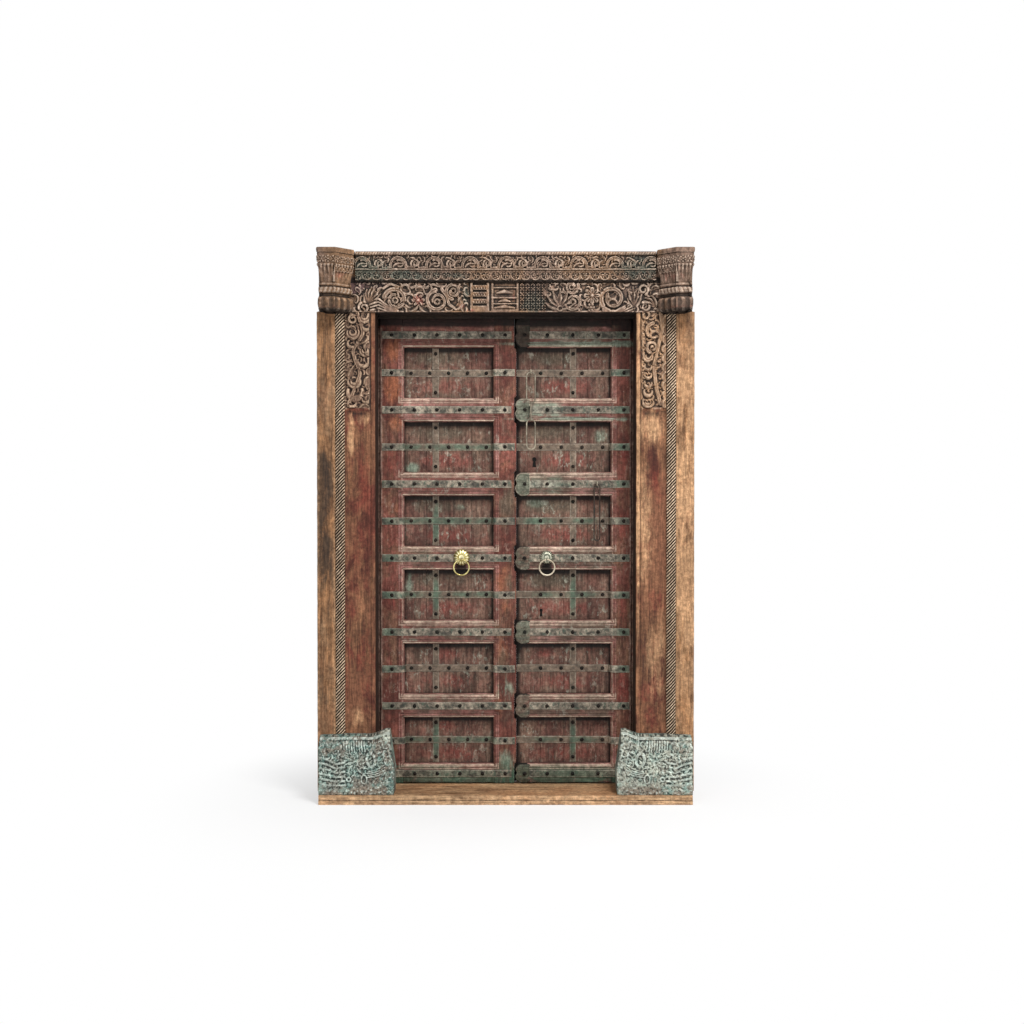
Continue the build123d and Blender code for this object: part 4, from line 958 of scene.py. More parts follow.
def make_jamb(side, carve, red, sun):
    name = "left" if side < 0 else "right"
    inner = np.sort(side * np.concatenate([np.arange(515, 636.1, 1.9), [637, 655, 672]]))
    zs = np.concatenate([np.arange(BOARD_TOP, 1545, 9.0), np.arange(1546, LINTEL_FOOT, 1.9), [LINTEL_FOOT]])
    c = Carving(inner, zs, 1.4)
    carve(c)
    c.fill(*sorted((side * 536, side * 634)), 1558, 1926, 17, 26, 7.5, 30 + side)
    x, z = np.meshgrid(inner, zs)
    a = np.abs(x)
    relief = c.result() * ((a > 538) & (a < 634) & (z > 1553))
    plain = z <= 1553
    step = np.clip((a - 546) / 5, 0, 1) * np.clip((607 - a) / 4, 0, 1) * np.clip((1540 - z) / 8, 0, 1)
    shallow = -1.3 * step + 0.4 * np.exp(-((a - 610) / 3) ** 2)
    worn = ripple(x / 22, z / 90, 40 + side) * 0.9 + ripple(x / 6, z / 30, 44 + side) * 0.45
    shape = np.where(plain, shallow + worn, np.maximum(relief, worn * 0.3))
    bead = 0.6 * np.clip((531 - a) / 3, 0, 1) - 2.2 * np.exp(-((a - 533.5) / 1.8) ** 2)
    arris = -4.0 * np.clip((518 - a) / 3, 0, 1) ** 2
    shape = shape + bead + arris + 3.0 * np.exp(-((z - 1549) / 5) ** 2) * (a > 536) * (a < 634)
    points, faces, extra = slab(x, z, FRAME_FACE - shape, REBATE)
    marks = slab_marks(shape, extra)
    # Painted shade: the rim and back by the doorway are fully dark, so the reveal beside the leaf reads as a
    # dark gap.
    marks["cavity"][-extra:] = np.where(np.abs(points[-extra:, 0]) < 520, 1.0, 0.2)
    marks["brown"] = with_back(1.7 * ((z > 1550) & (a > 534) & (a < 636)), extra)
    marks["edge"][:a.size] *= np.where((a < 534) | (z < 1545), 0.3, 0.9).ravel()
    for mark, spots in (("red", red), ("sun", sun)):
        marks[mark] = with_back(blobs(x, z, spots), extra)
    if side > 0:
        marks["sun"][:a.size] = np.maximum(marks["sun"][:a.size], 0.55 * (z > 1550).ravel())
    add_piece(name + "_carved_jamb", points, faces, "frame", jamb_wood,
              (name + "_inner_jamb",), marks)
    low, high = sorted((side * 525, side * JAMB_EDGE))
    back_x, back_z = np.meshgrid(np.linspace(low, high, 12), np.linspace(BOARD_TOP, LINTEL_FOOT, 60))
    points, faces, extra = slab(back_x, back_z, REBATE + 0 * back_x, BACK)
    add_piece(name + "_jamb_rebate", points, faces, "frame", jamb_wood, (),
              slab_marks(0 * back_x, extra))


make_jamb(-1, carve_left_jamb,
          [(-560, 1300, 40, 180, 0.7), (-590, 960, 50, 200, 0.5), (-560, 560, 50, 200, 0.55)],
          [(-612, 1440, 16, 110, 0.9), (-560, 1500, 40, 50, 0.6), (-590, 330, 60, 60, 0.5)])
make_jamb(1, carve_right_jamb,
          [(600, 1250, 40, 120, 0.6), (590, 760, 50, 160, 0.5), (565, 450, 50, 120, 0.4)],
          [(570, 1480, 70, 90, 0.8), (540, 1100, 60, 300, 0.65), (524, 1500, 9, 900, 1.0),
           (600, 560, 60, 260, 0.6), (560, 1750, 60, 160, 0.35)])

# %% [markdown]
# ## Rope mouldings
#
# A half-round strip beside each jamb, cut with slanting strands that climb to the right. A real one is
# marked out with a paper wrapped round the strip and cut with a gouge; here the grid itself slants with the
# strands, and a sine of its rows cuts between them.

# %% Ropes
def make_rope(side):
    name = "left" if side < 0 else "right"
    xs = np.sort(side * np.linspace(636, 672, 13))
    rows = np.arange(240, 1946, 1.6)
    x, row = np.meshgrid(xs, rows)
    z = np.clip(row + 1.05 * (x - side * 654), 264, 1921)
    across = (np.abs(x) - 654) / 18
    strand = np.abs(np.sin(math.pi * (row / 13.2 + 0.1 * ripple(x / 60, row / 120, 60 + side))))
    roll = np.sqrt(np.clip(1 - 0.72 * across ** 2, 0, 1))
    front = -33.5 - roll * (2.5 + 14.3 * strand ** 0.55)
    points, faces, extra = slab(x, z, front, FRAME_FACE)
    # The strands' crests are made pale and the gaps between them dark: wear and dirt, and also a painted
    # highlight and painted shade.
    marks = {"edge": np.clip((strand - 0.75) * 3, 0, 1), "cavity": np.clip((0.72 - strand) * 5.0, 0, 1)}
    marks = {k: with_back(v, extra) for k, v in marks.items()}
    add_piece(name + "_rope", points, faces, "frame", rope_wood,
              (name + "_rope_moulding",), marks)


# Its near-black dark colour, laid on strongly, is dirt and also the painted shade between the strands.
rope_wood = wood_finish("rope_wood", "#9C8068", "#D2B598", UPRIGHT, worn="#E6D2B8", dirt="#060403",
                        dirt_and_shade_strength=3.0, wear=0.9)
make_rope(-1)
make_rope(1)

# %% [markdown]
# ## Posts and base board
#
# Plain sawn timbers. Each is a worn section pulled along the timber's length: the corners are rounded by a
# few millimetres, the faces wander a little, and the arrises carry the wear mark. Above its shoulder a post
# is narrower, so the capital stands free. A lining and a stop bead close the gap under the lintel; both are
# dark all over, as painted shade.

# %% Plain timbers
def worn_section(corners, radius):
    """A closed section with rounded corners and points along its sides, and the wear mark of each point."""
    corners = np.asarray(corners, float)
    points, marks = [], []
    for k in range(len(corners)):
        here, before, after = corners[k], corners[k - 1], corners[(k + 1) % len(corners)]
        d0, d1 = before - here, after - here
        l0, l1 = np.hypot(*d0), np.hypot(*d1)
        r = min(radius, l0 * 0.4, l1 * 0.4)
        a, b = here + d0 / l0 * r, here + d1 / l1 * r
        for s in (0, 0.5, 1):
            points.append((1 - s) ** 2 * a + 2 * s * (1 - s) * here + s ** 2 * b)
            marks.append(1.0)
        for s in np.arange(1, int(l1 / 26) + 1) / (int(l1 / 26) + 1):
            points.append(b + (after - here) * s * (1 - 2 * r / l1))
            marks.append(0.0)
    return np.array(points), np.array(marks)


def timber(corners, axis, start, end, radius=3.0, step=14.0, wander=0.6, seed=1):
    """A worn section pulled along x or z. Sections are (x, y) for z, and (y, z) for x."""
    section, wear = worn_section(corners, radius)
    along = np.linspace(start, end, max(4, int((end - start) / step)))
    n, m = len(along), len(section)
    t = np.repeat(along[:, None], m, 1)
    inward = section.mean(axis=0) - section
    inward = inward / np.maximum(np.hypot(*inward.T)[:, None], 1)
    dip = (value_noise(t / 60, np.arange(m)[None, :] * 0.7, seed) * wander
           + value_noise(t / 23, np.arange(m)[None, :] * 0.9, seed + 5) ** 4 * wander * 4 * wear[None, :])
    u = section[None, :, 0] + inward[None, :, 0] * dip
    v = section[None, :, 1] + inward[None, :, 1] * dip
    grid = np.stack([u, v, t], -1) if axis == "z" else np.stack([t, u, v], -1)
    points = grid.reshape(-1, 3)
    caps = np.stack([points[:m].mean(axis=0), points[-m:].mean(axis=0)])
    faces = [grid_faces(n, m, True), end_fans(n, m)]
    return np.concatenate([points, caps]), faces, {"edge": np.append(np.tile(wear, n), [0, 0])}


def oblong(a0, a1, b0, b1):
    return [(a0, b0), (a1, b0), (a1, b1), (a0, b1)]


# Marks that make a piece dark all over: painted shade.
def all_painted_shade(points):
    return {"edge": np.zeros(len(points)), "cavity": np.ones(len(points))}


SHOULDER, SHOULDER_X = 1937, 712
POST_TONES = {"left": [(-700, 1560, 30, 260, 0.6), (-720, 640, 20, 200, 0.6)],
            "right": [(700, 1100, 90, 1400, 0.75)]}
POST_SOOT = [(-720, 1230, 40, 150, 1.5), (-720, 960, 40, 130, 1.2), (-735, 1100, 14, 300, 0.9),
             (-690, 760, 20, 90, 0.6), (-730, 1450, 14, 90, 0.6), (-700, 480, 30, 90, 0.4),
             (725, 1560, 12, 60, 0.5)]
for side, name in ((-1, "left"), (1, "right")):
    corners = oblong(side * JAMB_EDGE, side * 745, POST_FACE, BACK)
    points, faces, marks = timber(corners, "z", BOARD_TOP, 2160, 4.0, 10, 0.9, 70 + side)
    above = points[:, 2] > SHOULDER
    points[:, 0] = np.where(above, side * np.minimum(side * points[:, 0], SHOULDER_X), points[:, 0])
    # A paler, warmer tone on the posts, over most of the right one, and darker grey patches.
    marks["sun"] = np.maximum(blobs(points[:, 0], points[:, 2], POST_TONES[name]), 0.4)
    marks["soot"] = np.maximum(blobs(points[:, 0], points[:, 2], POST_SOOT), 0.42 if side < 0 else 0.3)
    add_piece(name + "_post", points, faces, "frame", post_wood, (name + "_outer_post",), marks)
# The lining is a thin dark board that stands for the soffit's shade, and the stop bead is dark all over too:
# painted shade.
for name, (y0, y1), (z0, z1), reach, radius, wander, seed in (
        ("lintel_soffit_shade", (-31, 104), (1926.9, 1929), 514, 0.3, 0.0, 75),
        ("lintel_stop_bead", (62, 76), (1916.5, 1928), 515, 2.0, 0.4, 74)):
    points, faces, _ = timber(oblong(y0, y1, z0, z1), "x", -reach, reach, radius, 12, wander, seed)
    add_piece(name, points, faces, "frame", carved_wood, (), all_painted_shade(points))
section = [(-130, 0), (BACK, 0), (BACK, BOARD_TOP), (-127, BOARD_TOP), (-127, 19),
           (-124.5, 17.5), (-130, 15.5)]
points, faces, marks = timber(section, "x", -730, 730, 1.5, 12, 0.8, 73)
# Painted shade along the small step across the front of the base board.
marks["cavity"] = np.exp(-((points[:, 2] - 17.5) / 2.0) ** 2) * (points[:, 1] < -120)
add_piece("worn_base_board", points, faces, "frame", board_wood, ("base_board",), marks)

# %% [markdown]
# ## Plinth blocks
#
# Each post stands on a carved block, once painted teal and white, with a horn at its doorway corner. The
# carving here is half worn away: upright petals under the top, flowing leaves at the outside, a star of
# blades in the middle and an oval loop by the horn. The foot is bare grey wood. The block's grid is drawn
# square and then bent: its doorway side bulges and its top lifts into the horn.

# %% Plinths
def carve_plinth(c):
    tall = 6.5
    for k in range(9):
        c.stroke([(105 + k * 10.5, 205), (108 + k * 10.5, 172)], (9, 6), tall, 0.3)
    c.bar(0, 300, 212, 220, 4.0)
    for k in range(6):
        leaf = [(8, 150 - 21 * k), (40, 140 - 20 * k), (70, 122 - 17 * k), (104, 128 - 18 * k)]
        c.stroke(leaf, 9, tall, 0.35)
        c.comma(34 + 9 * k, 160 - 22 * k, 20, 34, 90, 12, tall)
    for k in range(10):
        a = math.tau * k / 10
        c.comma(150 + 12 * math.cos(a), 125 + 12 * math.sin(a), math.degrees(a), 38, 30, 11, tall)
    c.eye(150, 125, 13, tall)
    a = np.linspace(0, math.tau, 40)
    c.stroke(ring(212, 138, 17, 25, a), 13, tall + 1.5, 0.25)
    c.dab(c.removed, 212, 138, 11, 4)
    c.stroke(ring(180, 62, 11, 17, a), 7, tall)
    c.stroke(ring(120, 62, 8, 8, a), 7, tall)
    for k in range(5):
        c.comma(238 + 4 * k, 190 - 28 * k, 150, 40, -110, 13, tall)
        c.comma(268, 190 - 30 * k, 250, 30, 100, 12, tall)
    for k in range(4):
        c.stroke([(196, 92 - 7 * k), (232, 100 - 8 * k), (262, 112 - 9 * k)], 6, tall)
    c.fill(6, 290, 70, 205, 15, 22, 5.5, 12)


def make_plinth(side):
    name = "left" if side < 0 else "right"
    us, vs = np.linspace(0, 298, 136), np.linspace(0, 228, 106)
    c = Carving(us, vs)
    carve_plinth(c)
    u, v = np.meshgrid(us, vs)
    weather = 0.55 + 0.45 * ripple(u / 45, v / 45, 80 + side)
    bare = (np.clip((v - 26) / 30, 0, 1)
            * np.clip(1.2 - np.exp(-((u - 40) / 45) ** 2 - ((v - 175) / 22) ** 2), 0, 1))
    relief = c.result() * np.clip(weather, 0.1, 0.85) * bare
    relief = relief + ripple(u / 4, v / 4, 86) * 1.5 + ripple(u / 9, v / 9, 88) * 1.9
    relief = np.clip(relief + ripple(u / 30, v / 8, 84 + side) * 1.1 * (1 - bare), -2.5, 6.2)
    edge_round = -5.0 * (np.exp(-u / 4) + np.exp((u - 298) / 4)
                         + np.exp((v - 228) / 3.5) + np.exp(-v / 3) * 0.5)
    lean = np.interp(v, [0, 20, 90, 150, 228], [-4, -2, 0, -10, -22])
    horn = 23 * np.clip((u - 212) / 66, 0, 1) ** 1.6 + 3 * np.sin(u / 298 * math.pi) - 3
    x = side * (732 - u * (298 + lean) / 298)
    z = BOARD_TOP + v * (228 + horn) / 228
    eased = np.clip((v - 182) / 46, 0, 1) ** 1.6 * 62
    y = -118.8 - relief - edge_round * 0.9 + eased
    points, faces, extra = slab(x, z, y, FRAME_FACE)
    rim = points[u.size:]
    rim[:, 1] = np.where(np.abs(rim[:, 0]) > 671, POST_FACE, FRAME_FACE)
    marks = slab_marks(relief * 1.9 + edge_round * 0.4, extra)
    middle, everywhere = (0.45, 0.36) if side < 0 else (0.8, 0.58)
    pale = [(282, 215, 34, 30, 1.0), (212, 140, 32, 36, 0.55), (120, 200, 60, 16, 0.5),
            (60, 110, 60, 40, 0.35), (285, 110, 16, 60, 0.5), (150, 120, 160, 110, middle)]
    marks["pale"] = with_back(np.maximum(blobs(u, v, pale), everywhere), extra)
    stripped = [(200, 14, 120, 26, 1.0), (40, 176, 40, 18, 0.9), (60, 8, 80, 16, 0.7)]
    marks["bare"] = with_back(np.maximum(blobs(u, v, stripped), 0.42), extra, 0.4)
    add_piece(name + "_carved_plinth", points, faces, "frame", plinth_wood,
              (name + "_plinth_block",), marks)


make_plinth(-1)
make_plinth(1)

# %% [markdown]
# ## Capitals
#
# The capital over each post is cut out of one block: a moulded slab, a band of flowers, a ribbed bell, a
# ring of rope and a lobed cushion. Its section has a flat front and a face that slants back to the doorway.
# The mesh walks round that section at each height; a profile says how far the wood stands out there, and a
# carved map in walk and height adds flowers, ribs, strands and lobes.

# %% Capitals
def make_capital(side):
    name = "left" if side < 0 else "right"
    corners = np.array([(741, -47.0), (741, -132.0), (730, -142.5), (657, -142.5), (587, -70.0),
                        (587, -33.0)], float)
    runs = np.hypot(*np.diff(corners, axis=0).T)
    along = np.concatenate([[0], np.cumsum(runs)])
    walk = np.unique(np.concatenate([np.arange(0, along[-1], 2.2), along]))
    rim = np.stack([np.interp(walk, along, corners[:, k]) for k in (0, 1)], 1)
    for _ in range(5):
        rim[1:-1] = (rim[:-2] + 2 * rim[1:-1] + rim[2:]) / 4
    slope = np.gradient(rim, axis=0)
    inward = np.stack([slope[:, 1], -slope[:, 0]], 1)
    inward /= np.hypot(*inward.T)[:, None]
    if np.dot(inward[len(inward) // 2], np.array([660, 0]) - rim[len(inward) // 2]) < 0:
        inward = -inward
    zs = np.linspace(1921, 2168.5, 150)
    profile_z = [1921, 1926, 1938, 1952, 1968, 1978, 1982, 1990, 1995, 1999, 2008, 2014, 2018, 2021, 2024,
                 2030, 2033, 2036, 2060, 2080, 2098, 2104, 2106, 2142, 2146, 2148, 2150, 2157,
                 2158, 2165, 2168.5]
    profile_in = [28, 19, 13.5, 12, 12.5, 16, 22, 22, 17, 13.5, 12.5, 15, 20, 20, 17, 16.5, 20,
                  21, 18.5, 14, 9, 6.5, 7, 4.5, 3.5, 7, 2, 1, 0.5, 0.5, 2.5]
    inset = np.interp(zs, profile_z, profile_in)
    w, z = np.meshgrid(walk, zs)
    c = Carving(walk, zs)
    for k, place in enumerate(np.arange(18, along[-1] - 6, 25)):
        c.flower(place, 2124, 14, 6, 5.0, 0.5 * (k % 2))
        c.comma(place + 12, 2112, 70, 24, 90, 8, 4.5)
    for place in np.arange(12, along[-1], 14.6):
        c.stroke([(place, 2038), (place, 2098)], (7, 10), (1.6, 3.0))
        c.dab(c.relief, place, 2100, 6, 5.0)
    c.stroke([(along[3], 2036), (along[3], 2104)], 9, 7.5)
    for place in np.arange(along[3] + 10, along[-1] - 6, 16):
        c.spiral(place, 2088, 11, 4, 200, 1.2, 5, 5.0, 0.3)
    strands = (np.abs(np.sin(math.pi * (w - 0.3 * (z - 2004)) / 17.5)) ** 0.6 * 3.0
               * ((z > 1995) & (z < 2016)))
    lobes = (np.abs(np.sin(math.pi * w / 31)) ** 0.6 * 6.0 * np.clip((1981 - z) / 8, 0, 1)
             * np.clip((z - 1922) / 10, 0, 1))
    leaf = 2.0 * np.exp(-((np.abs(((w / 31) % 1) - 0.5) - 0.3) / 0.06) ** 2) * (z < 1975)
    worn = ripple(w / 16, z / 16, 90 + side) * 0.8
    stand = c.result() * (z > 2036) * (z < 2146) + strands + lobes - leaf * 0.6 + worn - 1.0
    depth = np.maximum(inset[:, None] + 5.5 - stand, 0.0)
    x = side * (rim[None, :, 0] + inward[None, :, 0] * depth)
    y = rim[None, :, 1] + inward[None, :, 1] * depth
    x = np.clip(x * side, 587, 741) * side
    grid = np.stack([x, np.minimum(y, -33.0), z], -1)
    rows, columns = w.shape
    points = grid.reshape(-1, 3)
    index = np.arange(rows * columns).reshape(rows, columns)
    caps, tris = [], []
    for row in (0, rows - 1):
        caps.append((side * 668, -33, zs[row]))
        centre = rows * columns + len(caps) - 1
        tris.append(np.stack([index[row, :-1], index[row, 1:], np.full(columns - 1, centre)], -1))
    points = np.concatenate([points, np.array(caps)])
    marks = relief_marks(-depth, 2, 6)
    marks["cavity"] *= 0.72
    marks["edge"] *= np.where(z < 1985, 0.55, 1.0)
    # Painted shade: below the bead band the capital is darker, and its cushion's underside and bottom cap
    # darker still.
    marks["cavity"] = np.maximum(marks["cavity"], 0.5 * np.clip((1992 - z) / 6, 0, 1)
                                 * np.clip(1.3 - marks["edge"] * 3, 0, 1))
    marks = {k: np.concatenate([v.ravel(), [0, 0]]) for k, v in marks.items()}
    marks["cavity"] = np.maximum(marks["cavity"],
                                 np.append(np.clip((1950 - z) / 30, 0, 0.75).ravel(), [1, 0.2]))
    red = blobs(w, z, [(along[3] + 30, 2060, 90, 34, 0.48), (150, 1940, 140, 12, 0.45)])
    marks["red"] = np.concatenate([red.ravel(), [0, 0]])
    add_piece(name + "_carved_capital", points, [grid_faces(rows, columns)] + tris, "frame",
              carved_wood, (name + "_capital",), marks)


make_capital(-1)
make_capital(1)

# %% [markdown]
# ## Finishes: painted leaves and metal
#
# The leaves have been painted many times: maroon over brown wood, with orange and red patches where an older
# coat shows, and grey-green where the straps' paint was carried onto the wood. Those patches have fixed
# places on this door, so each is a soft oval mark, and noise gives it a torn outline. Small pale and dark
# flecks lie over all of it. The straps are iron under the same grey-green paint, the nails are black, the
# hasp is darker than the chain, the left rose and ring are polished brass and the right ones dull bronze.

# %% Leaf and metal finishes
RINGS = ((-0.180, 0.913), (0.166, 0.911))
STAINS = (("orange", "#AC6C4A", 0.7), ("red", "#884039", 0.62), ("green", "#8FA592", 0.72),
          ("teal", "#35604F", 0.8), ("olive", "#565244", 0.65))
leaf_paint = wood_finish("leaf_paint", "#3E281E", "#86634E", UPRIGHT, paint=("#5A2E28", "#885046"),
                         cover=0.53, flake=8.0, worn="#C4A898", wear=0.5, dirt="#080504", second="#6A4A3A",
                         stains=STAINS, ring_centres=RINGS,
                         flecks=(("#B59C8C", 52, 0.40, 0.42), ("#22120E", 38, 0.40, 0.5)))
rail_paint = wood_finish("rail_paint", "#4E362B", "#80604E", LEVEL, paint=("#7E5049", "#B4827A"), cover=0.6,
                         flake=8.0, worn="#CFBDA8", wear=0.66, dirt="#080504", second="#735044",
                         stains=STAINS, ring_centres=RINGS,
                         flecks=(("#A4A596", 50, 0.41, 0.5), ("#3A211B", 42, 0.40, 0.45)))
plank_wood = wood_finish("plank_wood", "#36271F", "#8A7060", UPRIGHT, paint=("#583B34", "#835C50"),
                         cover=0.47, flake=12.0, worn="#B9A392", wear=0.4, dirt="#0A0605", dirt_and_shade_strength=1.2,
                         second="#6C5648", stains=STAINS, ring_centres=RINGS,
                         flecks=(("#A9AB9B", 56, 0.43, 0.62), ("#1E1410", 44, 0.42, 0.6)))


def metal_finish(name, dark, light, spots, metal, rough, worn, wear=0.6, scale=26.0, cover=0.42,
                 dirt="#0B0908", stains=(), mottle=0.35, gloss=0.5):
    material, tree_nodes, _ = new_material(name)
    tree = Tree(material.node_tree)
    shader = tree_nodes["Principled BSDF"]
    cloud = tree.noise((1, 1, 1), scale, 8.0, 0.68, 0.3)
    base = tree.mix(tree.step(cloud, 0.36, 0.66), colour(dark), colour(light))
    flakes = tree.group(flaked_paint, scale=scale * 1.7, cover=cover, softness=0.05)
    base = tree.mix(tree.times(flakes["Paint"], 0.8), base, colour(spots))
    for mark, tint, strength in stains:
        share = tree.step(tree.plus(tree.mark(mark), tree.times(cloud, 0.8)), 0.7, 1.1)
        base = tree.mix(tree.times(share, strength), base, colour(tint))
    # As in the wood, the dark colour goes on dirt and on painted shade, the pale one on wear and on painted
    # highlights.
    marks = tree.group(wear_dirt_and_painted_light, wear=wear, dirt=1.0, scale=60.0)
    base = tree.mix(tree.times(marks["Dirty and shaded"], 0.85), base, colour(dirt))
    base = tree.mix(tree.times(marks["Worn and lit"], 0.6), base, colour(worn))
    base = tree.mix(mottle, base, tree.group(mottled, direction=(1.5, 1.5, 1.5))["Colour"], "MULTIPLY")
    tree.put(shader.inputs["Base Color"], base)
    shader.inputs["Metallic"].default_value = metal
    shader.inputs["Specular IOR Level"].default_value = gloss
    tree.put(shader.inputs["Roughness"], tree.plus(tree.times(cloud, 0.3), rough - 0.15))
    tree.put(shader.inputs["Normal"], tree.bump(cloud, 0.0012, 0.6))
    return material


strap_iron = metal_finish("strap_iron", "#3C382F", "#AA9E8C", "#3E5043", 0.12, 0.68, "#C4BCAA", 0.6, 42.0,
                          0.44, stains=(("brown", "#6E5A4A", 0.7), ("pale", "#A8B4A4", 0.7),
                                        ("verdigris", "#44604E", 0.8)), mottle=0.8)
nail_iron = metal_finish("nail_iron", "#0F0C0A", "#2C2520", "#1A201A", 0.0, 0.75, "#4A423A", 0.5, gloss=0.15)
hasp_iron = metal_finish("hasp_iron", "#1C1613", "#4E4036", "#26302B", 0.1, 0.66, "#8A7A68", 0.5, gloss=0.3)
chain_iron = metal_finish("chain_iron", "#6A6152", "#B0A692", "#50473A", 0.3, 0.55, "#CFC5B0", 0.8)
brass = metal_finish("brass", "#8E7E42", "#DCD08C", "#7E6E3A", 0.8, 0.34, "#FFF8D0", 0.9,
                     18.0, 0.3, "#33290F")
bronze = metal_finish("bronze", "#4A5044", "#A2A690", "#5A5646", 0.65, 0.34, "#E2DFC8", 0.9, 22.0, 0.36)
ring_bronze = metal_finish("ring_bronze", "#A89A84", "#D8CCB6", "#8A7C66", 0.5, 0.4, "#EFE6D2", 0.8)
print("leaf finishes made")


# %% [markdown]
# ## Where the old coats show
#
# One table of patches serves every wooden piece of the two leaves, so a patch runs on across a joint, as
# paint does. A painted shadow darkens the leaves under the lintel and the top of the right leaf's hinge
# stile, and under every strap a dark mark is painted shadow with a little dust.
# The backs of the leaves stay plain.

# %% Patches
RAILS = [(1806, LEAF_HEAD), (1506.3, 1597.3), (1206.6, 1297.6), (906.9, 997.9), (607.2, 698.2),
         (307.5, 398.5), (LEAF_FOOT, 115)]
RECESSES = [(low, high) for (high, _), (_, low) in zip(RAILS, RAILS[1:])]
STRAPS = [1853, 1551.8, 1252.1, 952.4, 652.7, 353, 78]
MIDDLES = [(low + high) / 2 for low, high in RECESSES]
LEFT_RECESS, RIGHT_RECESS = (-415, -47.3), (43.3, 428)
BOSS_ROOT, NOTCH = 95.3, 8.0
UPRIGHTS = {"left": -285.0, "right": 273.0}
LEAF_SCALE, BOARD_SCALE = 4.045, 4.067


def patches(rows):
    return [(*spot(across, down, LEAF_SCALE), rx, rz, strength) for across, down, rx, rz, strength in rows]


PATCHES = {
    "orange": patches([
        (393, 350, 34, 66, 1.0), (393, 388, 36, 70, 1.15), (396, 424, 30, 44, .9),
        (506, 467, 44, 56, .45), (505, 520, 36, 50, .6), (505, 571, 36, 50, .7), (505, 609, 36, 48, .65),
        (505, 650, 34, 46, .5), (393, 730, 26, 60, .5), (396, 510, 24, 50, .55), (470, 395, 60, 22, .3)]),
    "red": patches([
        (392, 462, 40, 76, .9), (390, 436, 30, 50, .6), (392, 540, 40, 76, .7), (392, 600, 40, 90, .7),
        (390, 665, 40, 70, .6), (623, 380, 32, 80, .55), (623, 460, 32, 84, .95),
        (623, 525, 32, 84, .85), (623, 610, 32, 110, .8), (623, 690, 32, 120, .9),
        (560, 460, 60, 26, .5), (545, 655, 60, 30, .7), (450, 470, 60, 26, .5), (440, 615, 90, 40, .4),
        (450, 690, 120, 30, .5), (560, 735, 120, 30, .5), (590, 650, 40, 24, .6), (440, 450, 40, 20, .3)]),
    "green": patches([
        (411, 468, 34, 26, 1.0), (408, 585, 22, 80, .75), (460, 507, 46, 20, .7),
        (575, 344, 260, 11, 1.9), (575, 419, 260, 9, 1.3), (602, 436, 34, 36, 1.0),
        (537, 503, 46, 24, .9), (606, 520, 20, 46, .7), (505, 690, 44, 60, .75), (506, 762, 44, 60, .8),
        (560, 410, 190, 16, .55), (545, 484, 120, 22, .6), (545, 630, 160, 26, .5),
        (545, 706, 160, 26, .45), (430, 500, 40, 24, .4), (425, 750, 40, 20, .4), (590, 590, 30, 30, .5),
        (520, 345, 50, 60, .5), (415, 640, 30, 14, .6)]),
    "olive": [],
    "teal": patches([
        (450, 783, 330, 12, 1.1), (420, 769, 110, 9, .9), (575, 776, 240, 26, 1.0),
        (505, 768, 40, 50, .6), (412, 706, 60, 12, .5)]),
}
PATCHES["orange"] += [(-12, 860, 40, 90, .8), (-12, 560, 40, 90, .7), (-20, 380, 36, 120, .6)]
PATCHES["red"] += [(x, z - 55, 190, 44, .75) for z in MIDDLES for x in (-230, 240)]
PATCHES["red"] += [(-240, z + 55, 90, 40, .7) for z in MIDDLES[3:]]
PATCHES["green"] += [(x, z, 60, 46, .85) for z in (1552, 1252) for x in (120, 190)]
PATCHES["olive"] += [(8, 1150, 40, 130, .9), (8, 850, 40, 100, .7), (-10, 520, 40, 110, .8),
                     (4, 330, 36, 120, .7), (250, 1890, 240, 22, 1.2), (-230, 1888, 220, 14, .8)]
PATCHES["olive"] += [(x, sum(rail) / 2, 90, 50, 1.1) for rail in RAILS[2:6] for x in (140, 250, 360)]
PATCHES["olive"] += [(x, sum(rail) / 2, 80, 50, .8) for rail in RAILS[3:6] for x in (-340, -220, -110)]
PATCHES["olive"] += [(x, z + 60, 150, 40, .85) for z in MIDDLES[:4] for x in (-270, 190)]
PATCHES["teal"] += [(-230, 56, 330, 34, 1.7), (-320, 105, 150, 9, 1.3), (255, 74, 300, 36, 1.7),
                    (470, 350, 30, 18, .8)]
FLECKS = {"green": 0.3, "red": 0.42, "olive": 0.32, "orange": 0.28}


def leaf_marks(points, edge, cavity=None):
    x, z = points[:, 0], points[:, 2]
    marks = {"edge": edge, "cavity": np.zeros(len(x)) if cavity is None else cavity}
    # Painted shadow under the lintel, and in the right leaf's top corner by the jamb; no wear shows in it.
    soot = np.clip((z - 1883) / 15, 0, 1)
    soot = np.maximum(soot, 0.75 * np.clip((x - 400) / 70, 0, 1) * np.clip((z - 1790) / 90, 0, 1))
    marks["cavity"] = np.maximum(marks["cavity"], soot)
    marks["edge"] = marks["edge"] * (1 - soot) * np.where(z < 64, 0.25, 1)
    front = points[:, 1] < 121
    # Painted shadow, with a little dust, just below each strap.
    for strap in STRAPS:
        marks["cavity"] = np.maximum(marks["cavity"], front * 0.36 * np.exp(-((z - strap + 27) / 13) ** 2))
    for mark, spots in PATCHES.items():
        marks[mark] = np.maximum(front * blobs(x, z, spots), FLECKS.get(mark, 0))
    return marks


def merge(parts):
    """Several meshes as one; marks missing from a part are zero."""
    points, faces, names, start = [], {}, set(), 0
    for part_points, part_faces, marks in parts:
        names |= set(marks)
        for f in part_faces:
            faces.setdefault(f.shape[1], []).append(np.asarray(f) + start)
        start += len(part_points)
        points.append(part_points)
    marks = {n: np.concatenate([np.ravel(m.get(n, np.zeros(len(p)))) for p, _, m in parts]) for n in names}
    return np.concatenate(points), [np.concatenate(f) for f in faces.values()], marks


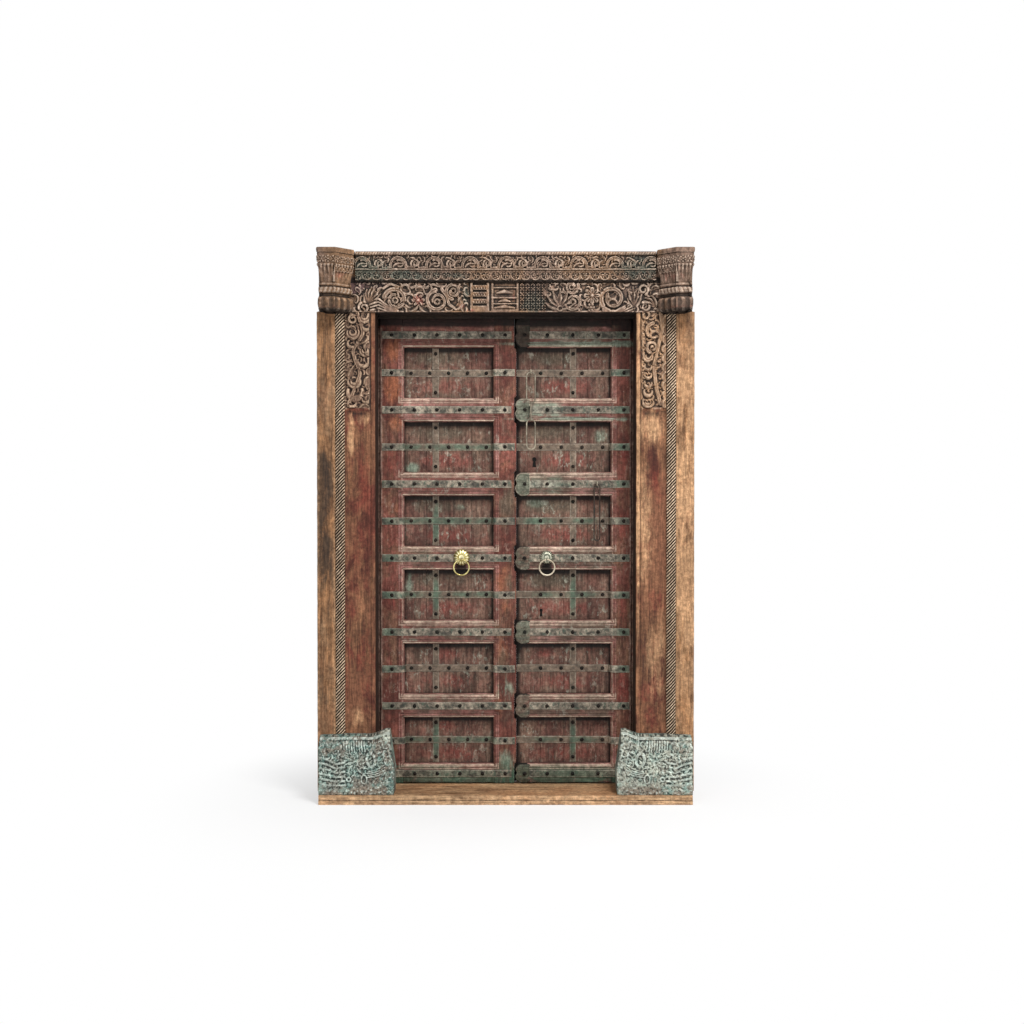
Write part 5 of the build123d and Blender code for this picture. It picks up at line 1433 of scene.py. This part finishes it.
def leaf_wood(name, parts, body, material, stands_for):
    points, faces, marks = merge(parts)
    add_piece(name, points, faces, body, material, stands_for,
              leaf_marks(points, marks["edge"], marks.get("cavity")))


# %% [markdown]
# ## Stiles, rails and planks
#
# A joiner's frame: the hinge stile has a tongue that stands behind the jamb and a rounded heel that turns at
# the pivot; the left meeting stile has an eased edge, notched where the other leaf's bosses close over it.
# Four boards fill each leaf behind the rails. On the right leaf, short tongues beside them fill the notches.

# %% Stiles, rails, planks
def hinge_section(side, inner):
    tongue = [(507, LEAF_FACE), (507, 102.5), (523, 102.5)]
    heel = [(523, 124), (520, 133), (513, 140), (504, BACK)]
    return [(side * x, y) for x, y in [(inner, LEAF_FACE)] + tongue + heel + [(inner, BACK)]]


for side, name, inner in ((-1, "left", 415), (1, "right", 428)):
    stile = timber(hinge_section(side, inner), "z", LEAF_FOOT, LEAF_HEAD, 3.0, 11, 0.6, 100 + side)
    leaf_wood(name + "_stile", [stile], name + "_leaf", leaf_paint, (name + "_hinge_stile",))


def notch_at(z):
    """How deep the shutting edge is cut back at height z, from 0 to 1: full beside each boss."""
    depth = np.zeros(np.shape(z))
    for low, high in RAILS:
        outside = np.maximum(0 if low < 50 else low - 3 - z, 0 if high > 1900 else z - high - 1.5)
        near = (outside < 8) & (np.abs(z - (low + high) / 2) < 90)
        depth = np.maximum(depth,
                           np.where(near, 0.5 + 0.5 * np.cos(math.pi * np.clip(outside / 8, 0, 1)), 0))
    return depth


inner = LEFT_RECESS[1]
section = [(inner, LEAF_FACE), (41.2, LEAF_FACE), (42.3, 90.0), (42.65, 112), (42.65, 130),
           (42.65, BACK), (inner, BACK)]
points, faces, marks = timber(section, "z", LEAF_FOOT, LEAF_HEAD, 0.8, 3.0, 0.0, 110)
notch = notch_at(points[:, 2])
right_side = points[:, 0] > 36
points[:, 0] -= np.where(right_side, NOTCH * notch, 0)
marks["edge"] = np.where(right_side, 0, marks["edge"] * 0.5)
# Painted shade: behind its front arris the shutting edge is dark, and darkest at the notches, so the gap
# between the leaves reads black.
beyond_arris = (points[:, 0] > 30) & right_side & (points[:, 1] > 88.8)
marks["cavity"] = np.where(beyond_arris, np.maximum(notch, 0.6), 0)
leaf_wood("left_shutting_stile", [(points, faces, marks)], "left_leaf", leaf_paint,
          ("left_meeting_stile",))

for name, (x0, x1) in (("left", LEFT_RECESS), ("right", (BOSS_ROOT, RIGHT_RECESS[1]))):
    parts = [timber(oblong(LEAF_FACE, BOARD_FACE, *rail), "x", x0, x1, 2.5, 10, 0.5, 120 + k)
             for k, rail in enumerate(RAILS)]
    leaf_wood(name + "_rails", parts, name + "_leaf", rail_paint,
              [f"{name}_rail_{k}" for k in range(1, 8)])


def plank_painted_shade(points):
    """Painted shade under each rail, at the sides of the recess and in the corners."""
    x, z, dark = points[:, 0], points[:, 2], np.zeros(len(points))
    for wall, reach, depth in ((-415, 9, .5), (-47.3, 12, .7), (43, 5, .9), (428, 10, .7)):
        dark = np.maximum(dark, depth * np.exp(-np.abs(x - wall) / reach))
    for low, high in RECESSES:
        inside = (z > low - 3) & (z < high + 3)
        dark = np.maximum(dark,
                          inside * (1.15 * np.exp(-((high - z) / 20) ** 2) + 0.4 * np.exp(-(z - low) / 9)))
    return dark


# The notch tongues are dark all over their front: painted shade in the notches round the bosses.
def tongue_marks(points):
    return {"edge": np.zeros(len(points)), "cavity": 1.0 * (points[:, 1] < 141)}


STEPS = 626
pitch = (LEAF_HEAD - LEAF_FOOT) / STEPS
for name, (x0, x1), edge in (("left", LEFT_RECESS, None), ("right", RIGHT_RECESS, 42.78)):
    width = (x1 - x0) / 4
    parts = []
    for k in range(4):
        a, b = x0 + width * k + 0.2, x0 + width * (k + 1) - 0.2
        joint = [(b, BOARD_FACE), (b, 124), (b + 4, 126), (b + 4, BACK)]
        section, radius, wander = [(a, BOARD_FACE)] + joint + [(a, BACK)], 0.7, 0.3
        if edge and k == 0:
            section = [(edge + 0.9, BOARD_FACE)] + joint + [(edge + 0.5, BACK), (edge, 128), (edge, 120)]
            radius, wander = 0.3, 0.0
        points, faces, marks = timber(section, "z", LEAF_FOOT, LEAF_HEAD, radius, 7, wander, 130 + k)
        dark = np.maximum(plank_painted_shade(points) * (points[:, 1] < 121), marks["edge"] * 0.2)
        parts.append((points, faces, {"edge": marks["edge"] * 0.3, "cavity": dark}))
    if edge:
        for k, (low, high) in enumerate(RAILS):
            first = max(0, int((low - 14 - LEAF_FOOT) / pitch))
            last = min(STEPS, int((high + 13 - LEAF_FOOT) / pitch) + 1)
            start, end = LEAF_FOOT + first * pitch, LEAF_FOOT + last * pitch
            step = (end - start) / (last - first + 1.5)
            points, faces, _ = timber(oblong(edge - NOTCH, 76, 119, 142.2), "z", start, end, 0.1,
                                      step, 0.0, 140 + k)
            points[:, 0] = np.where(points[:, 0] < 60, edge - NOTCH * notch_at(points[:, 2]), 76)
            parts.append((points, faces, tongue_marks(points)))
        points, faces, _ = timber(oblong(34.9, 76, 119, 142.1), "z", 1921, 1926.6, 0.3, 2, 0.0, 149)
        parts.append((points, faces, tongue_marks(points)))
    leaf_wood(name + "_boards", parts, name + "_leaf", plank_wood, (name + "_planks",))

# %% [markdown]
# ## Panel mouldings
#
# Two small beads and a bevel run round each recess, mitred at the corners. On the right leaf the moulding
# has three sides only: the boards run on under the bosses to the shutting edge. Each moulding is one section
# carried along a path, with the corner offsets worked out from the two sides that meet there.

# %% Mouldings
MOULD = [(20, 89.5, 0, .2), (19.4, 86.6, .2, 0), (17, 85.4, .55, 0), (14.6, 86.4, .1, 0),
         (13.4, 88.4, 0, .7), (12, 86.7, .1, 0), (9, 85.4, .4, 0), (6.2, 86.2, .1, 0), (5, 88.2, 0, .7),
         (3.8, 88.2, 1, 0), (1.6, 93.6, .1, 0), (.4, 95.8, 0, .5), (-1.6, 96.0, .6, 0), (-3.0, 99.0, 0, .2),
         (-3.4, 118, 0, 1), (20, 118, 0, 0)]


def moulding(corners, closed, seed):
    """The section carried along corners given as (x, z), with the wood on its left hand."""
    corners = np.asarray(corners, float)
    n = len(corners)
    runs = [(k, (k + 1) % n) for k in range(n if closed else n - 1)]
    ways = [(corners[b] - corners[a]) / np.hypot(*(corners[b] - corners[a])) for a, b in runs]
    outs = [np.array([-w[1], w[0]]) for w in ways]
    offsets = []
    for k in range(n):
        before = outs[k - 1] if (closed or k > 0) else outs[0]
        after = outs[k % len(outs)] if (closed or k < n - 1) else outs[-1]
        both = before + after
        offsets.append(both / (np.dot(both, both) / 2))
    rows = []
    for a, b in runs:
        steps = np.linspace(0, 1, int(np.hypot(*(corners[b] - corners[a])) / 9) + 2)
        for s in steps[:-1]:
            rows.append((corners[a] * (1 - s) + corners[b] * s, offsets[a] * (1 - s) + offsets[b] * s))
    if not closed:
        rows.append((corners[-1], offsets[-1]))
    base, out = np.array([r[0] for r in rows]), np.array([r[1] for r in rows])
    section = np.array(MOULD)
    flat = base[:, None, :] + out[:, None, :] * section[None, :, 0, None]
    y = np.repeat(section[None, :, 1], len(rows), 0)
    worn = 1.6 * value_noise(np.arange(len(rows))[:, None] / 3.1,
                             np.arange(len(section))[None, :] / 2, seed) ** 3
    y = np.minimum(y + worn * (section[None, :, 2] > 0.4), 118)
    grid = np.stack([flat[..., 0], y, flat[..., 1]], -1)
    count = len(rows)
    marks = {"edge": np.repeat(section[None, :, 2], count, 0),
             "cavity": np.repeat(section[None, :, 3], count, 0)}
    # A painted highlight: the bottom run of each moulding is made paler.
    painted_lit_low_run = flat[..., 1] < corners[:, 1].min() + 6
    marks["edge"] = np.maximum(marks["edge"], 0.78 * painted_lit_low_run * (marks["cavity"] < 0.1))
    return grid.reshape(-1, 3), [grid_faces(count, len(section), True, closed)], marks


for name, (x0, x1) in (("left", LEFT_RECESS), ("right", RIGHT_RECESS)):
    parts = []
    for k, (low, high) in enumerate(RECESSES):
        if name == "left":
            path = [(x0, low), (x0, high), (x1, high), (x1, low)]
        else:
            path = [(BOSS_ROOT - 8, high), (x1, high), (x1, low), (BOSS_ROOT - 8, low)]
        parts.append(moulding(path, name == "left", 150 + k))
    leaf_wood(name + "_mouldings", parts, name + "_leaf", rail_paint, ())

# %% [markdown]
# ## Keyholes
#
# Two old keyholes in the right leaf's boards, shown only as black shapes that are painted shade for the
# holes: a round eye over a slot.

# %% Keyholes
def keyhole(x, z, radius, drop):
    a = np.radians(np.linspace(-60, 240, 22))
    slot_foot = [(x - radius * 0.85, z - drop), (x + radius * 0.85, z - drop)]
    rim = np.concatenate([ring(x, z, radius, radius, a), slot_foot])
    rows = []
    for s, y in ((1.0, 118.5), (1.0, 116.7), (0.9, 116.3), (0.8, 117.0), (0.02, 117.0)):
        middle = z - drop * 0.3
        rows.append(np.stack([rim[:, 0] * s + x * (1 - s), np.full(len(rim), y),
                              rim[:, 1] * s + middle * (1 - s)], -1))
    points = np.array(rows).reshape(-1, 3)
    return points, [grid_faces(5, len(rim), True)], all_painted_shade(points)


holes = [keyhole(*spot(534.2, 459.5, BOARD_SCALE), 9, 31), keyhole(*spot(541, 610.5, BOARD_SCALE), 6.5, 24)]
points, faces, marks = merge(holes)
add_piece("keyholes", points, faces, "right_leaf", nail_iron, (), marks)

# %% [markdown]
# ## Bosses
#
# Each rail of the right leaf ends in a carved knob that closes over the other leaf. It is cut as a rosette:
# a lobed outline, four big petals and a round eye. The lists at the end give each knob its own old coats.

# %% Bosses
LOBES = [(0, .5), (.62, .5), (.86, .4), (.97, .2), (.85, .03), (1, -.16), (.9, -.38), (.6, -.53),
         (.25, -.53), (0, -.47)]


def boss(low, high, seed):
    middle, tall = (low + high) / 2, high - low
    outline = ([(BOSS_ROOT + 3, middle + tall * 0.5)]
               + [(BOSS_ROOT - 59 * u, middle + tall * v) for u, v in LOBES])
    outline = np.array(outline + [(BOSS_ROOT + 3, middle - tall * 0.47)])
    outline[:, 1] = np.clip(outline[:, 1], LEAF_FOOT, LEAF_HEAD)
    loop = np.concatenate([outline, outline[:1]])
    runs = np.concatenate([[0], np.cumsum(np.hypot(*np.diff(loop, axis=0).T))])
    fine = np.linspace(0, runs[-1], 97)[:-1]
    rim = np.stack([np.interp(fine, runs, loop[:, k]) for k in (0, 1)], 1)
    for _ in range(2):
        rim = (np.roll(rim, 1, 0) + 2 * rim + np.roll(rim, -1, 0)) / 4
    centre = np.array([(rim[:, 0].min() + rim[:, 0].max()) / 2, (rim[:, 1].min() + rim[:, 1].max()) / 2])
    reach = np.linspace(1, 0.02, 18)
    angle = np.arctan2(rim[:, 1] - centre[1], rim[:, 0] - centre[0])
    stand = []
    for r in reach:
        petal = 1.7 * np.abs(np.sin(2 * angle + 0.6)) ** 0.7 * np.exp(-((r - 0.58) / 0.24) ** 2)
        border = 0.5 * np.exp(-((r - 0.9) / 0.06) ** 2) - 0.7 * np.exp(-((r - 0.8) / 0.06) ** 2)
        eye = 0.8 * np.sqrt(max(0, 1 - (r / 0.34) ** 2))
        stand.append(4.0 * (1 - r ** 8) + petal + border + eye - 1.6 + 0 * angle)
    stand = np.array(stand) + 0.7 * ripple(rim[None, :, 0] / 9 * reach[:, None],
                                           rim[None, :, 1] / 9 * reach[:, None], seed)
    stand = np.clip(stand, -1, 9)
    flat = centre + (rim[None] - centre) * reach[:, None, None]
    top = np.stack([flat[..., 0], 87.0 - stand, flat[..., 1]], -1)
    foot = np.stack([rim[:, 0], np.full(96, 118.0), rim[:, 1]], -1)[None]
    grid = np.concatenate([foot, top])
    wide = stand - blur(np.pad(stand, ((0, 0), (8, 8)), mode="wrap"), 2)[:, 8:-8]
    edge = np.clip(np.concatenate([np.zeros((1, 96)), wide * 0.9 + 0.1]), 0, 1)
    # The boss's foot row is fully dark: painted shade where it meets the boards.
    dark = np.clip(np.concatenate([np.ones((1, 96)), -wide * 1.3]), 0, 1)
    edge[1:3] = 0.8
    return grid.reshape(-1, 3), [grid_faces(19, 96, True)], {"edge": edge, "cavity": dark}


points, faces, marks = merge([boss(low, high, 160 + k) for k, (low, high) in enumerate(RAILS)])
marks = leaf_marks(points, marks["edge"], marks["cavity"])
which = np.array([min(range(7), key=lambda k: abs(z - sum(RAILS[k]) / 2)) for z in points[:, 2]])
marks["green"] = np.maximum(marks["green"] * 0.5, np.array([0.3, 1.1, 0.95, 0.55, 0.7, 0.5, 0.4])[which])
marks["olive"] = np.array([1.6, 0.7, 0.8, 1.4, 1.2, 1.2, 0.8])[which]
marks["teal"] = np.array([0.5, 0, 0.2, 0, 0, 0.2, 0.8])[which]
# The top boss, under the lintel, is darker: painted shadow.
marks["cavity"] = np.maximum(marks["cavity"], np.array([0.5, 0, 0, 0, 0, 0, 0])[which])
marks["edge"] *= np.array([0.4, 0.9, 0.9, 0.7, 0.7, 0.7, 0.6])[which]
add_piece("right_bosses", points, faces, "right_leaf", rail_paint, (), marks)

# %% [markdown]
# ## Iron straps
#
# Flat bars hammered out by hand, so their edges wander and their faces are slightly domed. A strap is a
# ribbon of points along a path: straight on the rails, bent into the recess and up again over the panels.

# %% Straps
def ribbon(path, across, outward, width, thick, seed):
    """A hammered bar: path is its back's middle line; across and outward are directions for each point."""
    path, n = np.asarray(path, float), len(path)
    shares = np.array([-0.5, -0.46, -0.25, 0, 0.25, 0.46, 0.5])
    lift = np.array([0.25, 0.8, 0.97, 1.0, 0.97, 0.8, 0.25])
    along = np.concatenate([[0], np.cumsum(np.linalg.norm(np.diff(path, axis=0), axis=1))])
    wave = ripple(along[:, None] / 34, np.sign(shares)[None, :] * 3 + 7, seed) * 0.03 - 0.015
    place = (shares[None, :] * (1 + wave * 2)) * width
    up = (lift[None, :] * thick
          * (0.9 + 0.1 * ripple(along[:, None] / 19, np.arange(7)[None, :] * 0.6, seed + 3)))
    front = (path[:, None] + np.asarray(across)[None, None] * place[..., None]
             + outward[:, None] * up[..., None])
    back = path[:, None] + np.asarray(across)[None, None] * place[:, [6, 0], None]
    grid = np.concatenate([front, back], axis=1)
    caps = np.stack([grid[0].mean(axis=0), grid[-1].mean(axis=0)])
    faces = [grid_faces(n, 9, True), end_fans(n, 9)]
    edge = np.tile(np.array([0.5, 0.9, 0.1, 0, 0.1, 0.9, 0.5, 0, 0]), n)
    dark = np.tile(np.array([0.7, 0, 0, 0, 0, 0, 0.7, 1, 1]), n)
    marks = {"edge": np.append(edge, [0, 0]), "cavity": np.append(dark, [0, 0])}
    return np.concatenate([grid.reshape(-1, 3), caps]), faces, marks


def flat_path(places, step=8.0):
    places = np.asarray(places, float)
    runs = np.concatenate([[0], np.cumsum(np.linalg.norm(np.diff(places, axis=0), axis=1))])
    fine = np.unique(np.concatenate([np.arange(0, runs[-1], step), runs]))
    return np.stack([np.interp(fine, runs, places[:, k]) for k in range(3)], 1)


def level_ribbon(places, width, thick, seed):
    path = flat_path(places)
    way = np.gradient(path, axis=0)
    outward = np.stack([way[:, 1], -way[:, 0], 0 * way[:, 0]], 1)
    outward /= np.linalg.norm(outward, axis=1)[:, None]
    return ribbon(path, (0, 0, 1), outward, width, thick, seed)


ON_STILE, ON_BOARDS = 87.3, 117.4


def bent(x0, x1, recess, z):
    r0, r1 = recess
    climb = [(r1 - 11, ON_BOARDS, z), (r1 - 6.5, 112, z), (r1 - 3.5, 99, z), (r1 - 0.5, 91, z),
             (r1 + 4, ON_STILE, z), (x1, ON_STILE, z)]
    if x0 < r0:
        drop = [(x0, ON_STILE, z), (r0 - 4, ON_STILE, z), (r0 + .5, 91, z), (r0 + 3.5, 99, z),
                (r0 + 6.5, 112, z), (r0 + 11, ON_BOARDS, z)]
        return drop + climb
    return [(x0, ON_BOARDS, z)] + climb


VERDIGRIS = [(470, 1550, 60, 900, .6), (300, 1550, 160, 200, .35), (-470, 800, 60, 900, .6),
             (480, 650, 60, 500, .6), (240, 1250, 90, 20, .5), (-200, 78, 400, 60, .5),
             (260, 78, 300, 60, .6), (-280, 250, 200, 60, .5), (120, 1100, 90, 30, .7),
             (-250, 1402, 220, 30, .55), (-250, 1102, 220, 60, .6), (-285, 1060, 30, 60, .7),
             (-285, 802, 40, 90, .6), (-100, 1552, 90, 20, .4), (300, 802, 120, 40, .5)]
VERDIGRIS += [(x, MIDDLES[k], 90, 22, .62) for k in (1, 2, 3, 5) for x in (-380, -180, -90)]
VERDIGRIS += [(x, MIDDLES[k], 90, 22, .62) for k in (2, 3, 5) for x in (160, 320)]
VERDIGRIS += [(x, MIDDLES[k], 20, 110, .75) for x, rows in ((-285, (2, 3, 5)), (273, (3, 5))) for k in rows]


def strap_piece(name, parts, leaf, node):
    points, faces, marks = merge(parts)
    x, z = points[:, 0], points[:, 2]
    marks["brown"] = ((points[:, 1] > 108) * (0.75 if "upright" in name else 0.5)
                      + 0.4 * value_noise(x / 70, z / 40, 7))
    marks["pale"] = blobs(x, z, PATCHES["green"]) * 0.55
    marks["verdigris"] = blobs(x, z, VERDIGRIS)
    # Painted shadow under the lintel on the top strap.
    marks["cavity"] = np.maximum(marks["cavity"], np.clip((z - 1890) / 20, 0, 1))
    add_piece(name, points, faces, leaf, strap_iron, (node,), marks)


for name, ends, recess in (("left", (-501, 22.7), LEFT_RECESS), ("right", (95.8, 501), RIGHT_RECESS)):
    leaf = name + "_leaf"
    bars = [level_ribbon([(ends[0], 87.4, z), (ends[1], 87.4, z)], 31, 2.9, 170 + k)
            for k, z in enumerate(STRAPS)]
    strap_piece(name + "_rail_bars", bars, leaf, name + "_rail_straps")
    panel_ends = (-501, 36.7) if name == "left" else (43.6, 501)
    bars = [level_ribbon(bent(*panel_ends, recess, z), 30, 2.9, 180 + k) for k, z in enumerate(MIDDLES)]
    strap_piece(name + "_panel_bars", bars, leaf, name + "_panel_straps")
    middle = UPRIGHTS[name]
    bars = []
    for k, (low, high) in enumerate(RECESSES):
        for z0, z1 in ((low + 4, MIDDLES[k] - 16), (MIDDLES[k] + 16, high - 4)):
            path = flat_path([(middle, ON_BOARDS, z0), (middle, ON_BOARDS, z1)])
            outward = np.repeat([[0.0, -1.0, 0.0]], len(path), 0)
            bars.append(ribbon(path, (1, 0, 0), outward, 26.5, 2.6, 190 + k))
    strap_piece(name + "_upright_bars", bars, leaf, name + "_upright_straps")

# %% [markdown]
# ## Nails
#
# Hand-made nails with domed heads, each a little out of round and struck a little off centre.

# %% Nails
def nail(x, y, z, seed, radius=7.4):
    rng = np.random.default_rng(seed)
    angle = np.arange(10) / 10 * math.tau
    size = radius * (1 + rng.uniform(-0.12, 0.12, 10))
    lean = rng.uniform(-0.14, 0.14, 2) * radius
    rows = []
    for share, up in ((1.0, -0.6), (1.0, 0.9), (0.84, 3.0), (0.5, 4.5), (0.14, 5.0)):
        rows.append(np.stack([x + np.cos(angle) * size * share + lean[0] * (1 - share), np.full(10, y - up),
                              z + np.sin(angle) * size * share + lean[1] * (1 - share)], -1))
    grid = np.array(rows)
    edge = np.repeat(np.array([0, 0.1, 0.5, 0.4, 0.3])[:, None], 10, 1)
    dark = np.repeat(np.array([1, 0.9, 0.1, 0, 0])[:, None], 10, 1)
    return grid.reshape(-1, 3), [grid_faces(5, 10, True)], {"edge": edge, "cavity": dark}


def spread(first, last, count):
    return [first + (last - first) * k / (count - 1) for k in range(count)]


for name, rail_xs, panel_xs, recess, covered in (
        ("left", spread(-461, -3.3, 6), spread(-461, -3.3, 7), LEFT_RECESS, [(3, -179)]),
        ("right", [76] + spread(167.3, 477, 4), spread(141.3, 477, 5), RIGHT_RECESS, [(3, 166), (2, 368)])):
    parts = []
    for row, z in enumerate(STRAPS):
        for x in rail_xs:
            if all(row != r or abs(x - other) > 40 for r, other in covered):
                y = 80.4 if x == 76 else 84.5
                parts.append(nail(x, y, z, 200 + len(parts)))
    for (low, high), z in zip(RECESSES, MIDDLES):
        for x in panel_xs:
            sunk = recess[0] + 12 < x < recess[1] - 12
            parts.append(nail(x, 114.5 if sunk else 84.5, z, 300 + int(x) % 97))
        parts += [nail(UPRIGHTS[name], 114.6, end, 400 + int(end)) for end in (low + 26, high - 26)]
    points, faces, marks = merge(parts)
    add_piece(name + "_rose_nails", points, faces, name + "_leaf", nail_iron,
              (name + "_nails",), marks, 60)

# %% [markdown]
# ## Rings, chain and hasp
#
# Bars of round iron bent by a smith. Each is a tube along its middle line, kept inside the box of its CAD
# link so that nothing new can touch when it swings.

# %% Bars bent to shape
def tube(path, radius, closed, seed, sides=10):
    path, n = np.asarray(path, float), len(path)
    if closed:
        way = np.roll(path, -1, 0) - np.roll(path, 1, 0)
    else:
        way = np.gradient(path, axis=0)
    way /= np.linalg.norm(way, axis=1)[:, None]
    spans = path.max(axis=0) - path.min(axis=0)
    normal = np.eye(3)[int(np.argmin(spans))]
    side = np.cross(way, normal)
    side /= np.linalg.norm(side, axis=1)[:, None]
    angle = np.arange(sides) / sides * math.tau
    thick = radius * (0.95 + 0.05 * ripple(np.arange(n) / 5, np.zeros(n), seed))
    grid = (path[:, None] + side[:, None] * (np.cos(angle)[None, :, None] * thick[:, None, None])
            + normal[None, None] * (np.sin(angle)[None, :, None] * thick[:, None, None]))
    edge = np.repeat((np.sin(angle) < -0.3)[None, :] * 0.4, n, 0)
    return grid.reshape(-1, 3), [grid_faces(n, sides, True, closed)], {"edge": edge, "cavity": 0 * edge}


def node_box(name):
    low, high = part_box(name)
    return np.array(low) * 1000, np.array(high) * 1000


def long_link(name, body, metal, radius=2.8):
    low, high = node_box(name)
    mid, span = (low + high) / 2, high - low
    wide = 0 if span[0] > span[1] else 1
    a = span[wide] / 2 - radius
    turn = np.linspace(0, math.pi, 15)
    top, foot = high[2] - radius - a, low[2] + radius + a
    u = np.concatenate([a * np.cos(turn), np.full(10, -a), -a * np.cos(turn), np.full(10, a)])
    v = np.concatenate([top + a * np.sin(turn), np.linspace(top, foot, 12)[1:-1],
                        foot - a * np.sin(turn), np.linspace(foot, top, 12)[1:-1]])
    path = np.repeat(mid[None], len(u), 0)
    path[:, wide] += u
    path[:, 2] = v
    points, faces, marks = tube(path, radius, True, 210)
    add_piece(name + "_bar", points, faces, body, metal, (name,), marks, 60)


for name in ("chain_link_1", "chain_link_2", "chain_link_3"):
    long_link(name, name, chain_iron)
long_link("hasp_link", "hasp", hasp_iron)
for name in ("chain_staple", "hasp_staple"):
    low, high = node_box(name)
    x, r = (low[0] + high[0]) / 2, 2.8
    a = np.linspace(-math.pi / 2, math.pi / 2, 13)
    half = (high[2] - low[2]) / 2 - r
    z = (low[2] + high[2]) / 2
    path = ([(x, y, z - half) for y in np.linspace(high[1] + 2, low[1] + r + half, 6)]
            + [(x, low[1] + r + half - half * np.cos(t), z + half * np.sin(t)) for t in a]
            + [(x, y, z + half) for y in np.linspace(low[1] + r + half, high[1] + 2, 6)])
    points, faces, marks = tube(path, r, False, 211)
    add_piece(name + "_bar", points, faces, "right_leaf", chain_iron, (name,), marks, 60)
for name, metal, slot_name in (("left_ring", brass, "brass"), ("right_ring", ring_bronze, "bronze")):
    low, high = node_box(name)
    mid, a = (low + high) / 2, np.linspace(0, math.tau, 49)[:-1]
    reach = (high[0] - low[0]) / 2 - 3.5
    path = np.stack([mid[0] + reach * np.cos(a), np.full(48, mid[1]), mid[2] + reach * np.sin(a)], -1)
    points, faces, marks = tube(path, 3.5, True, 212, 12)
    add_piece(name + "_bar", points, faces, name, metal, (name,), marks, 60)

# %% [markdown]
# ## Roses
#
# Each ring hangs from a lug on a domed plate. The left plate is fluted brass like an opened flower; the
# right one is a plain bronze dome on a small plate. Both are turned surfaces, waved by their petals.

# %% Roses
def rose(x, z, metal, name, radius, petals):
    angle = np.arange(96) / 96 * math.tau
    wave = np.abs(np.cos(angle * petals / 2)) ** 0.7
    rows, edge, dark = [], [], []
    for share, up, flute in ((1.0, -1.0, 0.02), (1.0, 2.0, 0.03), (0.98, 4, 0.05), (0.93, 7, 0.06),
                             (0.83, 10, 0.06), (0.7, 12.6, 0.05), (0.56, 14.2, 0.04), (0.42, 15.2, 0.03),
                             (0.34, 14.8, 0.0), (0.28, 15.6, 0.0), (0.18, 16.4, 0.0), (0.02, 16.8, 0.0)):
        r = radius * share * (1 - flute * (1 - wave))
        y = 84.6 - up - flute * 14 * (wave - 0.6)
        rows.append(np.stack([x + r * np.cos(angle), y + 0 * angle, z + r * np.sin(angle)], -1))
        # The dome's top rows get a pale mark, strongest at the middle: a painted highlight.
        edge.append(np.clip(wave - 0.55, 0, 1) * 2 * (flute > 0.03)
                    + (0.3 + 0.5 * (share < 0.3)) * (flute == 0))
        dark.append(np.clip(0.5 - wave, 0, 1) * 2 * (flute > 0.03))
    grid = np.array(rows)
    parts = [(grid.reshape(-1, 3), [grid_faces(12, 96, True)],
              {"edge": np.array(edge), "cavity": np.array(dark)})]
    axis_y, axis_z = 64.0, 946.4
    a = np.linspace(0, math.tau, 25)[:-1]
    eye = np.stack([np.full(24, x), axis_y + 5.6 * np.cos(a), axis_z + 6.4 * np.sin(a)], -1)
    parts.append(tube(eye, 2.0, True, 213))
    stem = [(x, y, axis_z + 1) for y in np.linspace(80, axis_y + 5.6, 5)]
    parts.append(tube(stem, 3.0, False, 214))
    points, faces, marks = merge(parts)
    points[:, 1] = np.maximum(points[:, 1], node_box(name)[0][1])
    add_piece(name + "_plate", points, faces, name.replace("rose", "leaf"), metal,
              (name,), marks, 60)


rose(-179, 955.4, brass, "left_rose", 33, 14)
rose(166, 955.4, bronze, "right_rose", 27, 20)

# %% [markdown]
# ## Hidden iron
#
# The pivot pins and the cups they turn in are hardly seen. They keep their CAD meshes, in black iron.

# %% Pivots
for name in ("pivot_cups", "left_pivot_pins", "right_pivot_pins"):
    nodes[name].data.materials.clear()
    nodes[name].data.materials.append(nail_iron)
print("pivots finished")

# %% [markdown]
# ## Measuring
#
# The last line measures the box round every shown piece of the dressed door.

# %% Finish
low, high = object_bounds()
